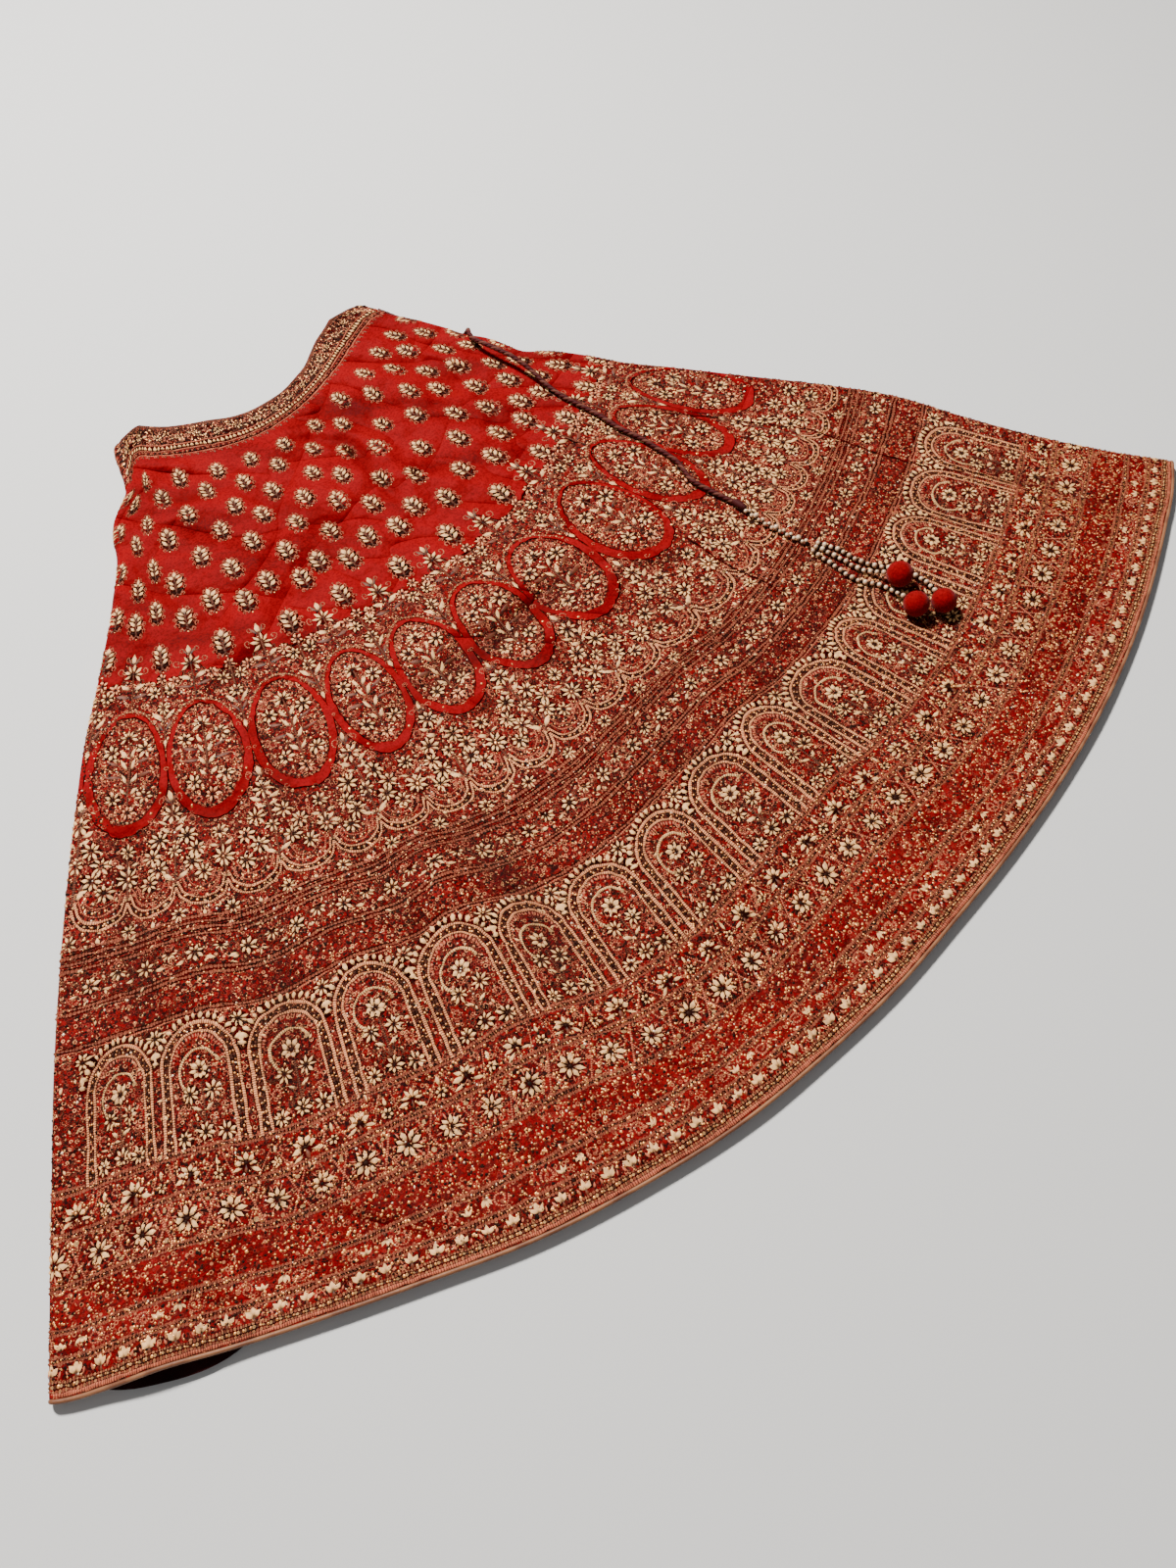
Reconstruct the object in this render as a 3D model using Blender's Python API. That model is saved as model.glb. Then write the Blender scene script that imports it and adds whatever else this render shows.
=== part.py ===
"""Lehenga skirt laid flat: ten gores, a waistband, hem piping, a lining hem and a tasselled drawstring.

Metres and degrees. In plan the skirt is a fan. Angles are measured at the fan's apex from the line
that runs down to the middle of the hem (-Y), positive towards +X. Radii are measured from the apex.
A place round the cloth is its "round" value: 0 is the middle of the front, HALF_FAN a side fold,
the next TURN that fold's half turn, and +-HALF_ROUND the middle of the back, which lies below.
"""

from collections import namedtuple
from math import cos, degrees, pi, radians, sin

import bmesh
import bpy
import numpy as np
from mathutils import Vector
from mathutils.bvhtree import BVHTree

# ---------------------------------------------------------------- driving dimensions

APEX_X, APEX_Y = 0.00358, 0.82777   # the fan's apex, from the middle of the part's box

GORE_WALL = 0.0024                   # embroidered silk with its backing
BAND_WALL = 0.0030
LINING_WALL = 0.0010
PIPING_WIDTH = 0.0040
LAYER_GAP = 0.0008                   # between the back and the front where they lie on each other
SEAM_GAP = 0.0003
BASE_LIFT = 0.0030                   # how far the front floats over the back between its folds
HEM_RISE = 0.0024                    # the front hem rides on the back hem's piping
HEM_RISE_START, HEM_RISE_END = 1.315, 1.350
PUFF_WIDTH = 0.030                   # how far in from a side fold its roll swells the front
SOFT_CLAMP = 0.0010

HALF_FAN = 33.0
TURN = 1.0
HALF_ROUND = 2 * HALF_FAN + TURN
FRONT_FIXED_FAN = 26.0               # gore lines are straight inside this, and follow the side outside
BACK_FIXED_FAN = 28.0
GORE_COUNT = 10
GORE_STEP = 2 * HALF_ROUND / GORE_COUNT
FIRST_SEAM = 1.1                     # the seam just right of the middle of the front
LEFT_JOINT = FIRST_SEAM - 3 * GORE_STEP   # where the band's and the piping's two lengths meet
RIGHT_JOINT = FIRST_SEAM + 3 * GORE_STEP

SEAM_RADIUS = 0.375                  # nominal waist seam
HEM_RADIUS = 1.3677                  # nominal hem
WAIST_BLEND = 0.25                   # how far down the waist's own curve still shows
HEM_BLEND = 0.17

FRONT_COLUMNS_PER_GORE = 10
BACK_COLUMNS_PER_GORE = 4
ROLL_COLUMNS = (31.7, 32.45, 33.0, 33.2, 33.4, 33.6, 33.8, 34.0, 34.8)
GORE_ROWS = (0.375, 0.400, 0.425, 0.450, 0.475, 0.505, 0.535, 0.565, 0.600, 0.640, 0.680, 0.720,
             0.760, 0.795, 0.820, 0.845, 0.880, 0.930, 0.980, 1.030, 1.080, 1.130, 1.180, 1.240,
             1.300, 1.340, 1.3677)
BACK_ROWS = (0.375, 0.450, 0.540, 0.640, 0.760, 0.900, 1.050, 1.200, 1.300, 1.3677)

CORD_DIAMETER = 0.0060
STEM_DIAMETER = 0.0060
STRAND_DIAMETER = 0.0046
CAP_DIAMETER = 0.0090
REST_GAP = 0.0005                    # what lies on the cloth lies this far over it
TUBE_STEP = 2.0                      # diameters between the points of a cord's tube

Edge = namedtuple("Edge", "radius left right roll")
EDGES = (                            # the side folds: their outermost angles, and the roll's radius
    Edge(0.318, 30.40, 30.40, 0.0078),
    Edge(0.330, 31.60, 32.40, 0.0078),
    Edge(0.345, 32.00, 33.40, 0.0078),
    Edge(0.365, 31.40, 33.00, 0.0077),
    Edge(0.385, 30.60, 32.50, 0.0076),
    Edge(0.405, 30.00, 32.40, 0.0075),
    Edge(0.422, 29.80, 32.40, 0.0073),
    Edge(0.442, 30.60, 32.20, 0.0071),
    Edge(0.465, 31.50, 31.90, 0.0069),
    Edge(0.490, 31.50, 31.35, 0.0067),
    Edge(0.520, 31.00, 31.55, 0.0065),
    Edge(0.545, 31.00, 31.10, 0.0064),
    Edge(0.575, 31.30, 30.50, 0.0063),
    Edge(0.605, 31.50, 31.40, 0.0062),
    Edge(0.650, 32.00, 31.90, 0.0060),
    Edge(0.700, 32.50, 31.95, 0.0058),
    Edge(0.760, 33.10, 32.50, 0.0056),
    Edge(0.850, 33.40, 33.10, 0.0054),
    Edge(0.950, 33.50, 33.65, 0.0052),
    Edge(1.040, 33.45, 33.70, 0.0050),
    Edge(1.120, 33.30, 32.95, 0.0048),
    Edge(1.200, 33.05, 32.45, 0.0046),
    Edge(1.290, 32.80, 32.30, 0.0044),
    Edge(1.376, 32.55, 32.45, 0.0042),
)

Waist = namedtuple("Waist", "round top seam")
WAIST = (                            # radii of the band's top edge and of its seam, right round
    Waist(-67.0, 0.3435, 0.3850),
    Waist(-58.0, 0.3500, 0.3920),
    Waist(-50.0, 0.3620, 0.4030),
    Waist(-42.0, 0.3710, 0.4140),
    Waist(-36.0, 0.3700, 0.4200),
    Waist(-34.0, 0.3620, 0.4210),
    Waist(-33.0, 0.3440, 0.4100),
    Waist(-31.5, 0.3330, 0.3960),
    Waist(-30.0, 0.3240, 0.3780),
    Waist(-28.0, 0.3190, 0.3675),
    Waist(-24.0, 0.3200, 0.3690),
    Waist(-20.0, 0.3245, 0.3720),
    Waist(-16.0, 0.3295, 0.3770),
    Waist(-12.0, 0.3350, 0.3840),
    Waist(-8.0, 0.3440, 0.3870),
    Waist(-4.0, 0.3485, 0.3885),
    Waist(0.0, 0.3485, 0.3860),
    Waist(4.0, 0.3470, 0.3820),
    Waist(8.0, 0.3410, 0.3770),
    Waist(12.0, 0.3350, 0.3720),
    Waist(16.0, 0.3250, 0.3670),
    Waist(20.0, 0.3175, 0.3620),
    Waist(24.0, 0.3170, 0.3600),
    Waist(28.0, 0.3190, 0.3620),
    Waist(31.0, 0.3270, 0.3680),
    Waist(33.0, 0.3390, 0.3780),
    Waist(34.0, 0.3530, 0.3920),
    Waist(38.0, 0.3600, 0.4000),
    Waist(44.0, 0.3600, 0.4010),
    Waist(52.0, 0.3540, 0.3960),
    Waist(60.0, 0.3470, 0.3890),
    Waist(67.0, 0.3435, 0.3850),
)

Hem = namedtuple("Hem", "round radius")
HEM = (
    Hem(-67.0, 1.3620),
    Hem(-40.0, 1.3600),
    Hem(-34.5, 1.3705),
    Hem(-33.0, 1.3760),
    Hem(-31.0, 1.3730),
    Hem(-29.0, 1.3682),
    Hem(-27.0, 1.3665),
    Hem(-24.0, 1.3652),
    Hem(-20.0, 1.3668),
    Hem(-16.0, 1.3728),
    Hem(-12.0, 1.3752),
    Hem(-8.0, 1.3768),
    Hem(-4.0, 1.3738),
    Hem(0.0, 1.3708),
    Hem(4.0, 1.3660),
    Hem(8.0, 1.3652),
    Hem(14.0, 1.3662),
    Hem(20.0, 1.3674),
    Hem(28.0, 1.3682),
    Hem(31.0, 1.3700),
    Hem(33.0, 1.3675),
    Hem(34.5, 1.3630),
    Hem(40.0, 1.3600),
    Hem(67.0, 1.3620),
)

Fold = namedtuple("Fold", "name start_angle start_radius mid_angle mid_radius end_angle end_radius "
                          "half_width height")
FOLDS = (                            # ridges (height over 0) and troughs (under 0) of the front
    Fold("cross ridge", -13.0, 0.800, -1.0, 0.785, 10.0, 0.785, 0.020, 0.0065),
    Fold("cross trough", -12.0, 0.843, -2.0, 0.824, 8.4, 0.822, 0.011, -0.0100),
    Fold("cross foot", -11.0, 0.880, -2.0, 0.862, 8.0, 0.860, 0.020, 0.0040),
    Fold("left waist puff", -29.0, 0.395, -24.0, 0.385, -17.0, 0.415, 0.012, 0.0065),
    Fold("left waist trough", -28.5, 0.425, -20.9, 0.446, -14.9, 0.447, 0.008, -0.0085),
    Fold("left shoulder", -30.0, 0.455, -27.0, 0.500, -20.0, 0.470, 0.018, 0.0060),
    Fold("left slant trough", -13.5, 0.455, -6.5, 0.563, -4.3, 0.602, 0.010, -0.0065),
    Fold("left slant ridge", -6.0, 0.470, -2.8, 0.540, -2.0, 0.590, 0.013, 0.0050),
    Fold("middle arch trough", 1.0, 0.398, 9.3, 0.431, 10.2, 0.478, 0.008, -0.0070),
    Fold("middle trough", -1.3, 0.425, 4.2, 0.475, 2.0, 0.600, 0.007, -0.0070),
    Fold("middle ridge", 5.0, 0.455, 6.5, 0.520, 4.0, 0.600, 0.011, 0.0050),
    Fold("right cloth ridge", 12.0, 0.395, 18.4, 0.443, 14.0, 0.560, 0.020, 0.0055),
    Fold("right dimple", 6.2, 0.558, 8.0, 0.580, 10.4, 0.590, 0.006, -0.0040),
    Fold("right blot", 22.5, 0.440, 23.5, 0.502, 25.9, 0.539, 0.014, -0.0060),
    Fold("right blot tail", 22.8, 0.542, 18.7, 0.591, 18.0, 0.652, 0.008, -0.0060),
    Fold("right rib", 26.5, 0.420, 25.0, 0.480, 28.0, 0.540, 0.009, 0.0040),
    Fold("left drop", -28.0, 0.544, -24.5, 0.600, -22.1, 0.669, 0.012, -0.0045),
    Fold("left mound", -24.0, 0.560, -19.0, 0.620, -17.0, 0.680, 0.028, 0.0040),
    Fold("left field edge", -23.3, 0.732, -20.5, 0.712, -17.6, 0.693, 0.008, -0.0060),
    Fold("right field edge", 15.5, 0.711, 19.0, 0.700, 22.1, 0.691, 0.008, -0.0050),
    Fold("left oval trough", -30.4, 0.800, -26.3, 0.870, -21.6, 0.898, 0.008, -0.0070),
    Fold("left oval ridge", -27.5, 0.780, -24.0, 0.840, -21.0, 0.850, 0.016, 0.0055),
    Fold("second oval trough", -20.1, 0.799, -19.8, 0.871, -19.4, 0.965, 0.009, -0.0070),
    Fold("second oval ridge", -15.8, 0.780, -14.6, 0.860, -14.0, 0.950, 0.018, 0.0075),
    Fold("second oval shade", -17.5, 0.849, -16.9, 0.900, -16.1, 0.957, 0.008, -0.0045),
    Fold("right oval dimple", 10.9, 0.876, 12.5, 0.886, 14.1, 0.902, 0.007, -0.0050),
    Fold("outer left trough", -30.2, 0.880, -29.7, 0.990, -28.1, 1.179, 0.013, -0.0070),
    Fold("outer left flute", -27.0, 0.930, -26.0, 1.040, -25.5, 1.200, 0.026, 0.0070),
    Fold("left arch trough", -22.4, 1.020, -22.6, 1.105, -23.0, 1.180, 0.012, -0.0095),
    Fold("left flute", -19.8, 0.980, -19.0, 1.080, -18.8, 1.230, 0.030, 0.0080),
    Fold("left seam trough", -16.5, 0.985, -15.8, 1.040, -15.3, 1.095, 0.010, -0.0050),
    Fold("inner left flute", -13.6, 0.970, -13.3, 1.070, -13.8, 1.200, 0.020, 0.0060),
    Fold("inner left trough", -11.8, 0.960, -9.9, 1.095, -10.4, 1.195, 0.013, -0.0105),
    Fold("middle flute", -5.5, 0.960, -4.5, 1.080, -4.5, 1.240, 0.036, 0.0085),
    Fold("middle arch line", 0.6, 1.000, 2.0, 1.071, 1.0, 1.165, 0.010, -0.0065),
    Fold("inner right flute", 5.2, 0.960, 5.0, 1.060, 4.8, 1.220, 0.026, 0.0065),
    Fold("inner right trough", 9.2, 1.000, 8.6, 1.102, 8.3, 1.170, 0.010, -0.0075),
    Fold("right flute", 13.5, 0.960, 13.0, 1.080, 13.0, 1.230, 0.034, 0.0070),
    Fold("tassel trough", 17.8, 1.000, 17.2, 1.100, 17.0, 1.200, 0.018, -0.0050),
    Fold("outer right flute", 22.5, 0.980, 22.0, 1.090, 22.2, 1.240, 0.034, 0.0070),
    Fold("right arch trough", 24.6, 1.060, 25.0, 1.120, 24.4, 1.190, 0.010, -0.0070),
    Fold("right side ridge", 27.2, 1.060, 27.0, 1.180, 26.8, 1.300, 0.018, 0.0060),
    Fold("right side trough", 30.3, 1.100, 29.0, 1.178, 28.5, 1.354, 0.011, -0.0085),
    Fold("hem flute", -7.0, 1.230, -6.5, 1.290, -6.5, 1.365, 0.040, 0.0030),
    Fold("hem line", -2.2, 1.200, -2.0, 1.260, -2.0, 1.320, 0.008, -0.0030),
    Fold("left hem flute", -24.2, 1.215, -23.2, 1.290, -22.9, 1.340, 0.016, 0.0035),
    Fold("hem gape", -28.8, 1.270, -28.9, 1.330, -29.0, 1.390, 0.042, 0.0100),
    Fold("right hem flute", 16.0, 1.250, 16.0, 1.300, 16.2, 1.366, 0.050, 0.0030),
)

LINING_START, LINING_END = -40.8, -35.0   # the stretch of the back, as round values, that shows it
LINING_TOP_RADIUS, LINING_HEM_RADIUS = 1.322, 1.3760

Route = namedtuple("Route", "angle radius height")
CORD_BESIDE = (                      # beside the right side fold: heights over the floor
    Route(33.57, 0.3660, 0.0090),
    Route(33.27, 0.3780, 0.0080),
    Route(33.05, 0.3900, 0.0063),
    Route(32.94, 0.4020, 0.0046),
    Route(32.90, 0.4180, 0.0036),
    Route(32.80, 0.4340, 0.0036),
    Route(32.64, 0.4480, 0.0036),
    Route(32.40, 0.4620, 0.0036),
    Route(32.14, 0.4740, 0.0036),
    Route(32.00, 0.4820, 0.0036),
    Route(31.86, 0.4880, 0.0048),
    Route(31.90, 0.4926, 0.0108),
    Route(31.52, 0.4964, 0.0178),
    Route(30.80, 0.4996, 0.0209),
)
CORD_OVER = (                        # over the front: heights over where it would rest on the cloth
    Route(30.12, 0.5040, 0.0022),
    Route(29.54, 0.5100, 0.0030),
    Route(28.92, 0.5194, 0.0068),
    Route(28.31, 0.5361, 0.0095),
    Route(27.84, 0.5527, 0.0108),
    Route(27.53, 0.5685, 0.0103),
    Route(27.15, 0.5832, 0.0090),
    Route(26.72, 0.5982, 0.0070),
    Route(26.20, 0.6116, 0.0046),
    Route(25.70, 0.6240, 0.0022),
    Route(25.25, 0.6371, 0.0006),
    Route(24.75, 0.6536, 0.0),
    Route(24.38, 0.6740, 0.0),
    Route(23.74, 0.7075, 0.0),
    Route(22.98, 0.7381, 0.0),
    Route(22.69, 0.7656, 0.0),
    Route(22.12, 0.7948, 0.0),
    Route(21.53, 0.8216, 0.0),
    Route(20.80, 0.8372, 0.0),
    Route(20.17, 0.8520, 0.0),
    Route(19.90, 0.8736, 0.0),
    Route(19.74, 0.8930, 0.0),
    Route(19.64, 0.9080, 0.0),
)
STEM_OVER = (
    Route(19.36, 0.9262, 0.0008),
    Route(19.16, 0.9389, 0.0),
    Route(19.03, 0.9480, 0.0),
    Route(18.87, 0.9600, 0.0),
    Route(18.82, 0.9746, 0.0),
    Route(18.75, 0.9900, 0.0),
    Route(18.74, 1.0100, 0.0),
)
FAR_STRAND_OVER = (
    Route(19.06, 1.0160, 0.0),
    Route(19.12, 1.0300, 0.0),
    Route(19.17, 1.0441, 0.0),
    Route(19.02, 1.0580, 0.0),
    Route(18.96, 1.0720, 0.0),
    Route(19.02, 1.0850, 0.0),
    Route(19.18, 1.0970, 0.0),
    Route(19.34, 1.1080, 0.0),
    Route(19.42, 1.1190, 0.0),
    Route(19.40, 1.1300, 0.0010),
    Route(19.27, 1.1405, 0.0025),
    Route(19.02, 1.1500, 0.0045),
)
MIDDLE_STRAND_OVER = (
    Route(18.74, 1.0165, 0.0),
    Route(18.74, 1.0280, 0.0),
    Route(18.65, 1.0400, 0.0),
    Route(18.58, 1.0547, 0.0),
    Route(18.44, 1.0680, 0.0),
    Route(18.44, 1.0816, 0.0010),
    Route(18.48, 1.0910, 0.0040),
)
NEAR_STRAND_OVER = (
    Route(18.42, 1.0160, 0.0),
    Route(18.24, 1.0260, 0.0),
    Route(18.12, 1.0380, 0.0),
    Route(17.89, 1.0548, 0.0),
    Route(17.70, 1.0700, 0.0),
    Route(17.72, 1.0840, 0.0),
    Route(17.90, 1.0960, 0.0),
    Route(17.98, 1.1090, 0.0),
    Route(17.86, 1.1190, 0.0020),
    Route(17.72, 1.1270, 0.0050),
)

Ball = namedtuple("Ball", "name angle radius diameter strand")
BALLS = (
    Ball("pompom_1", 18.58, 1.1175, 0.0300, MIDDLE_STRAND_OVER),
    Ball("pompom_2", 17.23, 1.1487, 0.0292, NEAR_STRAND_OVER),
    Ball("pompom_3", 18.10, 1.1725, 0.0280, FAR_STRAND_OVER),
)

RED_SILK = (0.60, 0.022, 0.014, 1.0)
GOLD_THREAD = (0.42, 0.27, 0.13, 1.0)
DARK_LINING = (0.045, 0.008, 0.008, 1.0)
RED_FELT = (0.52, 0.012, 0.010, 1.0)
PEARL = (0.66, 0.62, 0.52, 1.0)


# ---------------------------------------------------------------- the cloth as one surface

def table_value(rows, column, at):
    """A named column's value on the smooth curve through a table's rows, keyed by their first column."""
    keys = np.array([row[0] for row in rows])
    values = np.array([getattr(row, column) for row in rows])
    slopes = np.gradient(values, keys)
    at = np.clip(np.asarray(at, float), keys[0], keys[-1])
    left = np.clip(np.searchsorted(keys, at, side="right") - 1, 0, len(keys) - 2)
    step = keys[left + 1] - keys[left]
    t = (at - keys[left]) / step
    return ((1 + 2 * t) * (1 - t) ** 2 * values[left] + t * (1 - t) ** 2 * step * slopes[left]
            + t * t * (3 - 2 * t) * values[left + 1] + t * t * (t - 1) * step * slopes[left + 1])


def smooth_step(low, high, at):
    """0 under low, 1 over high, and a smooth rise between."""
    t = np.clip((np.asarray(at, float) - low) / (high - low), 0.0, 1.0)
    return t * t * (3 - 2 * t)


def plan(angle, radius):
    """Plan coordinates from the apex."""
    turn = np.radians(angle)
    return radius * np.sin(turn), -radius * np.cos(turn)


def fold_share(fold, x, y):
    """How much of a fold's height is felt at plan points: a bell across it, fading at both ends."""
    points = [plan(fold.start_angle, fold.start_radius), plan(fold.mid_angle, fold.mid_radius),
              plan(fold.end_angle, fold.end_radius)]
    nearest = np.full(np.shape(x), np.inf)
    along = np.zeros(np.shape(x))
    for index in (0, 1):
        (ax, ay), (bx, by) = points[index], points[index + 1]
        length_squared = (bx - ax) ** 2 + (by - ay) ** 2
        t = np.clip(((x - ax) * (bx - ax) + (y - ay) * (by - ay)) / length_squared, 0.0, 1.0)
        distance = np.hypot(x - ax - t * (bx - ax), y - ay - t * (by - ay))
        closer = distance < nearest
        nearest = np.where(closer, distance, nearest)
        along = np.where(closer, (index + t) / 2, along)
    fading = 0.25 + 0.75 * np.sin(pi * along)
    return np.exp(-(nearest / fold.half_width) ** 2) * fading


def side_fold(side, radius):
    """The angle where a side fold's turn starts, and the turn's radius at the cloth's middle."""
    edge = np.where(side < 0, table_value(EDGES, "left", radius), table_value(EDGES, "right", radius))
    roll = table_value(EDGES, "roll", radius)
    return edge - np.degrees((roll + GORE_WALL / 2) / radius), roll


def front_height(angle, radius, wall):
    """Height of the front's middle surface."""
    turn_start, roll = side_fold(angle, radius)
    x, y = plan(angle, radius)
    relief = BASE_LIFT + sum(fold.height * fold_share(fold, x, y) for fold in FOLDS)
    relief = (relief + np.sqrt(relief ** 2 + SOFT_CLAMP ** 2)) / 2
    relief = relief + HEM_RISE * smooth_step(HEM_RISE_START, HEM_RISE_END, radius)
    inside = (turn_start - np.abs(angle)) * np.radians(1.0) * radius
    puff = np.exp(-(np.maximum(inside, 0.0) / PUFF_WIDTH) ** 2)
    lay = 1.5 * wall + LAYER_GAP
    top = wall / 2 + 2 * roll
    return lay + (top - lay) * puff + relief * (1 - puff)


def wrap(round_value):
    """A round value brought between -HALF_ROUND and HALF_ROUND."""
    return (np.asarray(round_value, float) + HALF_ROUND) % (2 * HALF_ROUND) - HALF_ROUND


def middle(round_value, radius, wall):
    """Points of the cloth's middle surface, from the apex."""
    value = wrap(round_value)
    radius = np.broadcast_to(np.asarray(radius, float), value.shape)
    side = np.where(value < 0, -1.0, 1.0)
    reach = np.abs(value)
    turn_start, roll = side_fold(side, radius)
    phase = np.clip((reach - HALF_FAN) / TURN, 0.0, 1.0) * pi
    nominal = np.where(reach > HALF_FAN, np.minimum(HALF_FAN, 2 * HALF_FAN + TURN - reach), reach)
    fixed = np.where(reach > HALF_FAN, BACK_FIXED_FAN, FRONT_FIXED_FAN)
    stretch = (nominal - fixed) / (HALF_FAN - fixed)
    angle = np.where(nominal < fixed, nominal, fixed + stretch * (turn_start - fixed))
    turning = (reach > HALF_FAN) & (reach < HALF_FAN + TURN)
    angle = np.where(turning, turn_start + np.degrees(roll * np.sin(phase) / radius), angle)
    height = np.where(turning, wall / 2 + roll * (1 + np.cos(phase)), wall / 2)
    height = np.where(reach <= HALF_FAN, front_height(side * angle, radius, wall), height)
    x, y = plan(side * angle, radius)
    return np.stack([x, y, height], axis=-1)


def outward(round_value, radius, wall):
    """Unit normals on the cloth's outer side."""
    around, down = 0.02, 0.0005
    across = (middle(np.asarray(round_value) + around, radius, wall)
              - middle(np.asarray(round_value) - around, radius, wall))
    along = (middle(round_value, np.asarray(radius) + down, wall)
             - middle(round_value, np.asarray(radius) - down, wall))
    normal = np.cross(along, across)
    return normal / np.linalg.norm(normal, axis=-1, keepdims=True)


def gore_radius(round_value, row):
    """A row's true radius: the rows follow the waist seam at the top and the hem at the bottom."""
    near_waist = np.clip(1 - (row - SEAM_RADIUS) / WAIST_BLEND, 0.0, 1.0) ** 2
    near_hem = np.clip(1 - (HEM_RADIUS - row) / HEM_BLEND, 0.0, 1.0) ** 2
    seam = table_value(WAIST, "seam", wrap(round_value)) + SEAM_GAP
    hem = table_value(HEM, "radius", wrap(round_value)) - PIPING_WIDTH - SEAM_GAP
    return row + (seam - SEAM_RADIUS) * near_waist + (hem - HEM_RADIUS) * near_hem


# ---------------------------------------------------------------- solids

def add_material(name, colour, roughness, metallic=0.0):
    """A plain Principled material."""
    material = bpy.data.materials.new(name)
    material.use_nodes = True
    shader = material.node_tree.nodes["Principled BSDF"]
    shader.inputs["Base Color"].default_value = colour
    shader.inputs["Roughness"].default_value = roughness
    shader.inputs["Metallic"].default_value = metallic
    return material


def add_object(name, data, material):
    """Link a mesh or curve as an object, moved from the apex to the part's own origin."""
    data.materials.append(material)
    thing = bpy.data.objects.new(name, data)
    thing.location = (APEX_X, APEX_Y, 0.0)
    bpy.context.collection.objects.link(thing)
    return thing


def add_wall(name, outer, inner, material):
    """A closed wall between two grids of points, indexed by column then row."""
    columns, rows = outer.shape[:2]
    body = bmesh.new()
    skins = [[[body.verts.new(point) for point in column] for column in grid] for grid in (outer, inner)]
    out, into = skins
    for i in range(columns - 1):
        for j in range(rows - 1):
            body.faces.new((out[i][j], out[i][j + 1], out[i + 1][j + 1], out[i + 1][j]))
            body.faces.new((into[i][j], into[i + 1][j], into[i + 1][j + 1], into[i][j + 1]))
    for i in range(columns - 1):
        body.faces.new((out[i][0], out[i + 1][0], into[i + 1][0], into[i][0]))
        body.faces.new((out[i][-1], into[i][-1], into[i + 1][-1], out[i + 1][-1]))
    for j in range(rows - 1):
        body.faces.new((out[0][j], into[0][j], into[0][j + 1], out[0][j + 1]))
        body.faces.new((out[-1][j], out[-1][j + 1], into[-1][j + 1], into[-1][j]))
    mesh = bpy.data.meshes.new(name)
    body.to_mesh(mesh)
    body.free()
    mesh.shade_smooth()
    mesh.set_sharp_from_angle(angle=radians(40))
    return add_object(name, mesh, material)


def on_floor(points):
    """Points with the flat underside brought exactly to the floor."""
    points[..., 2] = np.where(np.abs(points[..., 2]) < 2e-5, 0.0, points[..., 2])
    return points


def round_columns(start, end):
    """Round values of the grid columns from start to end: close on the front, wide on the back."""
    front = GORE_STEP / FRONT_COLUMNS_PER_GORE
    back = GORE_STEP / BACK_COLUMNS_PER_GORE
    right = [FIRST_SEAM + front * k for k in range(-60, 60)]
    columns = [value for value in right if abs(value) < ROLL_COLUMNS[0] - front / 2]
    columns += [side * value for side in (-1, 1) for value in ROLL_COLUMNS]
    first_back = ROLL_COLUMNS[-1] + back / 2
    seams = [FIRST_SEAM + back * k for k in range(-60, 60)]
    columns += [value for value in seams if first_back < abs(wrap(value)) <= HALF_ROUND]
    columns += [value + 2 * HALF_ROUND for value in columns if value < 0]
    inner = sorted({round(value, 4) for value in columns if start + 0.25 < value < end - 0.25})
    return [start] + inner + [end]


def cloth_wall(name, start, end, radii, wall, material, edge_gap=SEAM_GAP / 2):
    """A wall of cloth from one round value to another, whose rows follow radii(round_value)."""
    columns = round_columns(start, end)
    grid = []
    for value in columns:
        rows = np.asarray(radii(value))
        inset = np.degrees(edge_gap / rows)
        places = value + inset * (value == start) - inset * (value == end)
        grid.append((places + np.zeros(len(rows)), rows))
    places = np.array([row[0] for row in grid])
    rows = np.array([row[1] for row in grid])
    mid = middle(places, rows, wall)
    normal = outward(places, rows, wall)
    return add_wall(name, on_floor(mid + normal * wall / 2), on_floor(mid - normal * wall / 2), material)


def make_gores(silk):
    """Ten gores, numbered from the one just right of the front's middle, towards +X and round."""
    gores = []
    for index in range(GORE_COUNT):
        start = FIRST_SEAM + GORE_STEP * index
        end = start + GORE_STEP
        middle_value = abs(wrap((start + end) / 2))
        whole_back = middle_value > HALF_FAN + TURN + GORE_STEP / 2 - 1.0
        rows = np.array(BACK_ROWS if whole_back else GORE_ROWS)
        gores.append(cloth_wall(f"gore_{index + 1:02d}", start, end,
                                lambda value, rows=rows: gore_radius(value, rows), GORE_WALL, silk))
    return gores


def band_radii(value):
    """Rows of the waistband, from its top edge to its seam."""
    top = table_value(WAIST, "top", wrap(value))
    seam = table_value(WAIST, "seam", wrap(value)) - SEAM_GAP / 2
    return top + (seam - top) * np.array([0.0, 0.5, 1.0])


def make_waistband(silk):
    """The front length goes round both side folds and meets the back length at gore seams."""
    cloth_wall("waistband_front", LEFT_JOINT, RIGHT_JOINT, band_radii, BAND_WALL, silk)
    cloth_wall("waistband_back", RIGHT_JOINT, LEFT_JOINT + 2 * HALF_ROUND, band_radii, BAND_WALL, silk)


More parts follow.
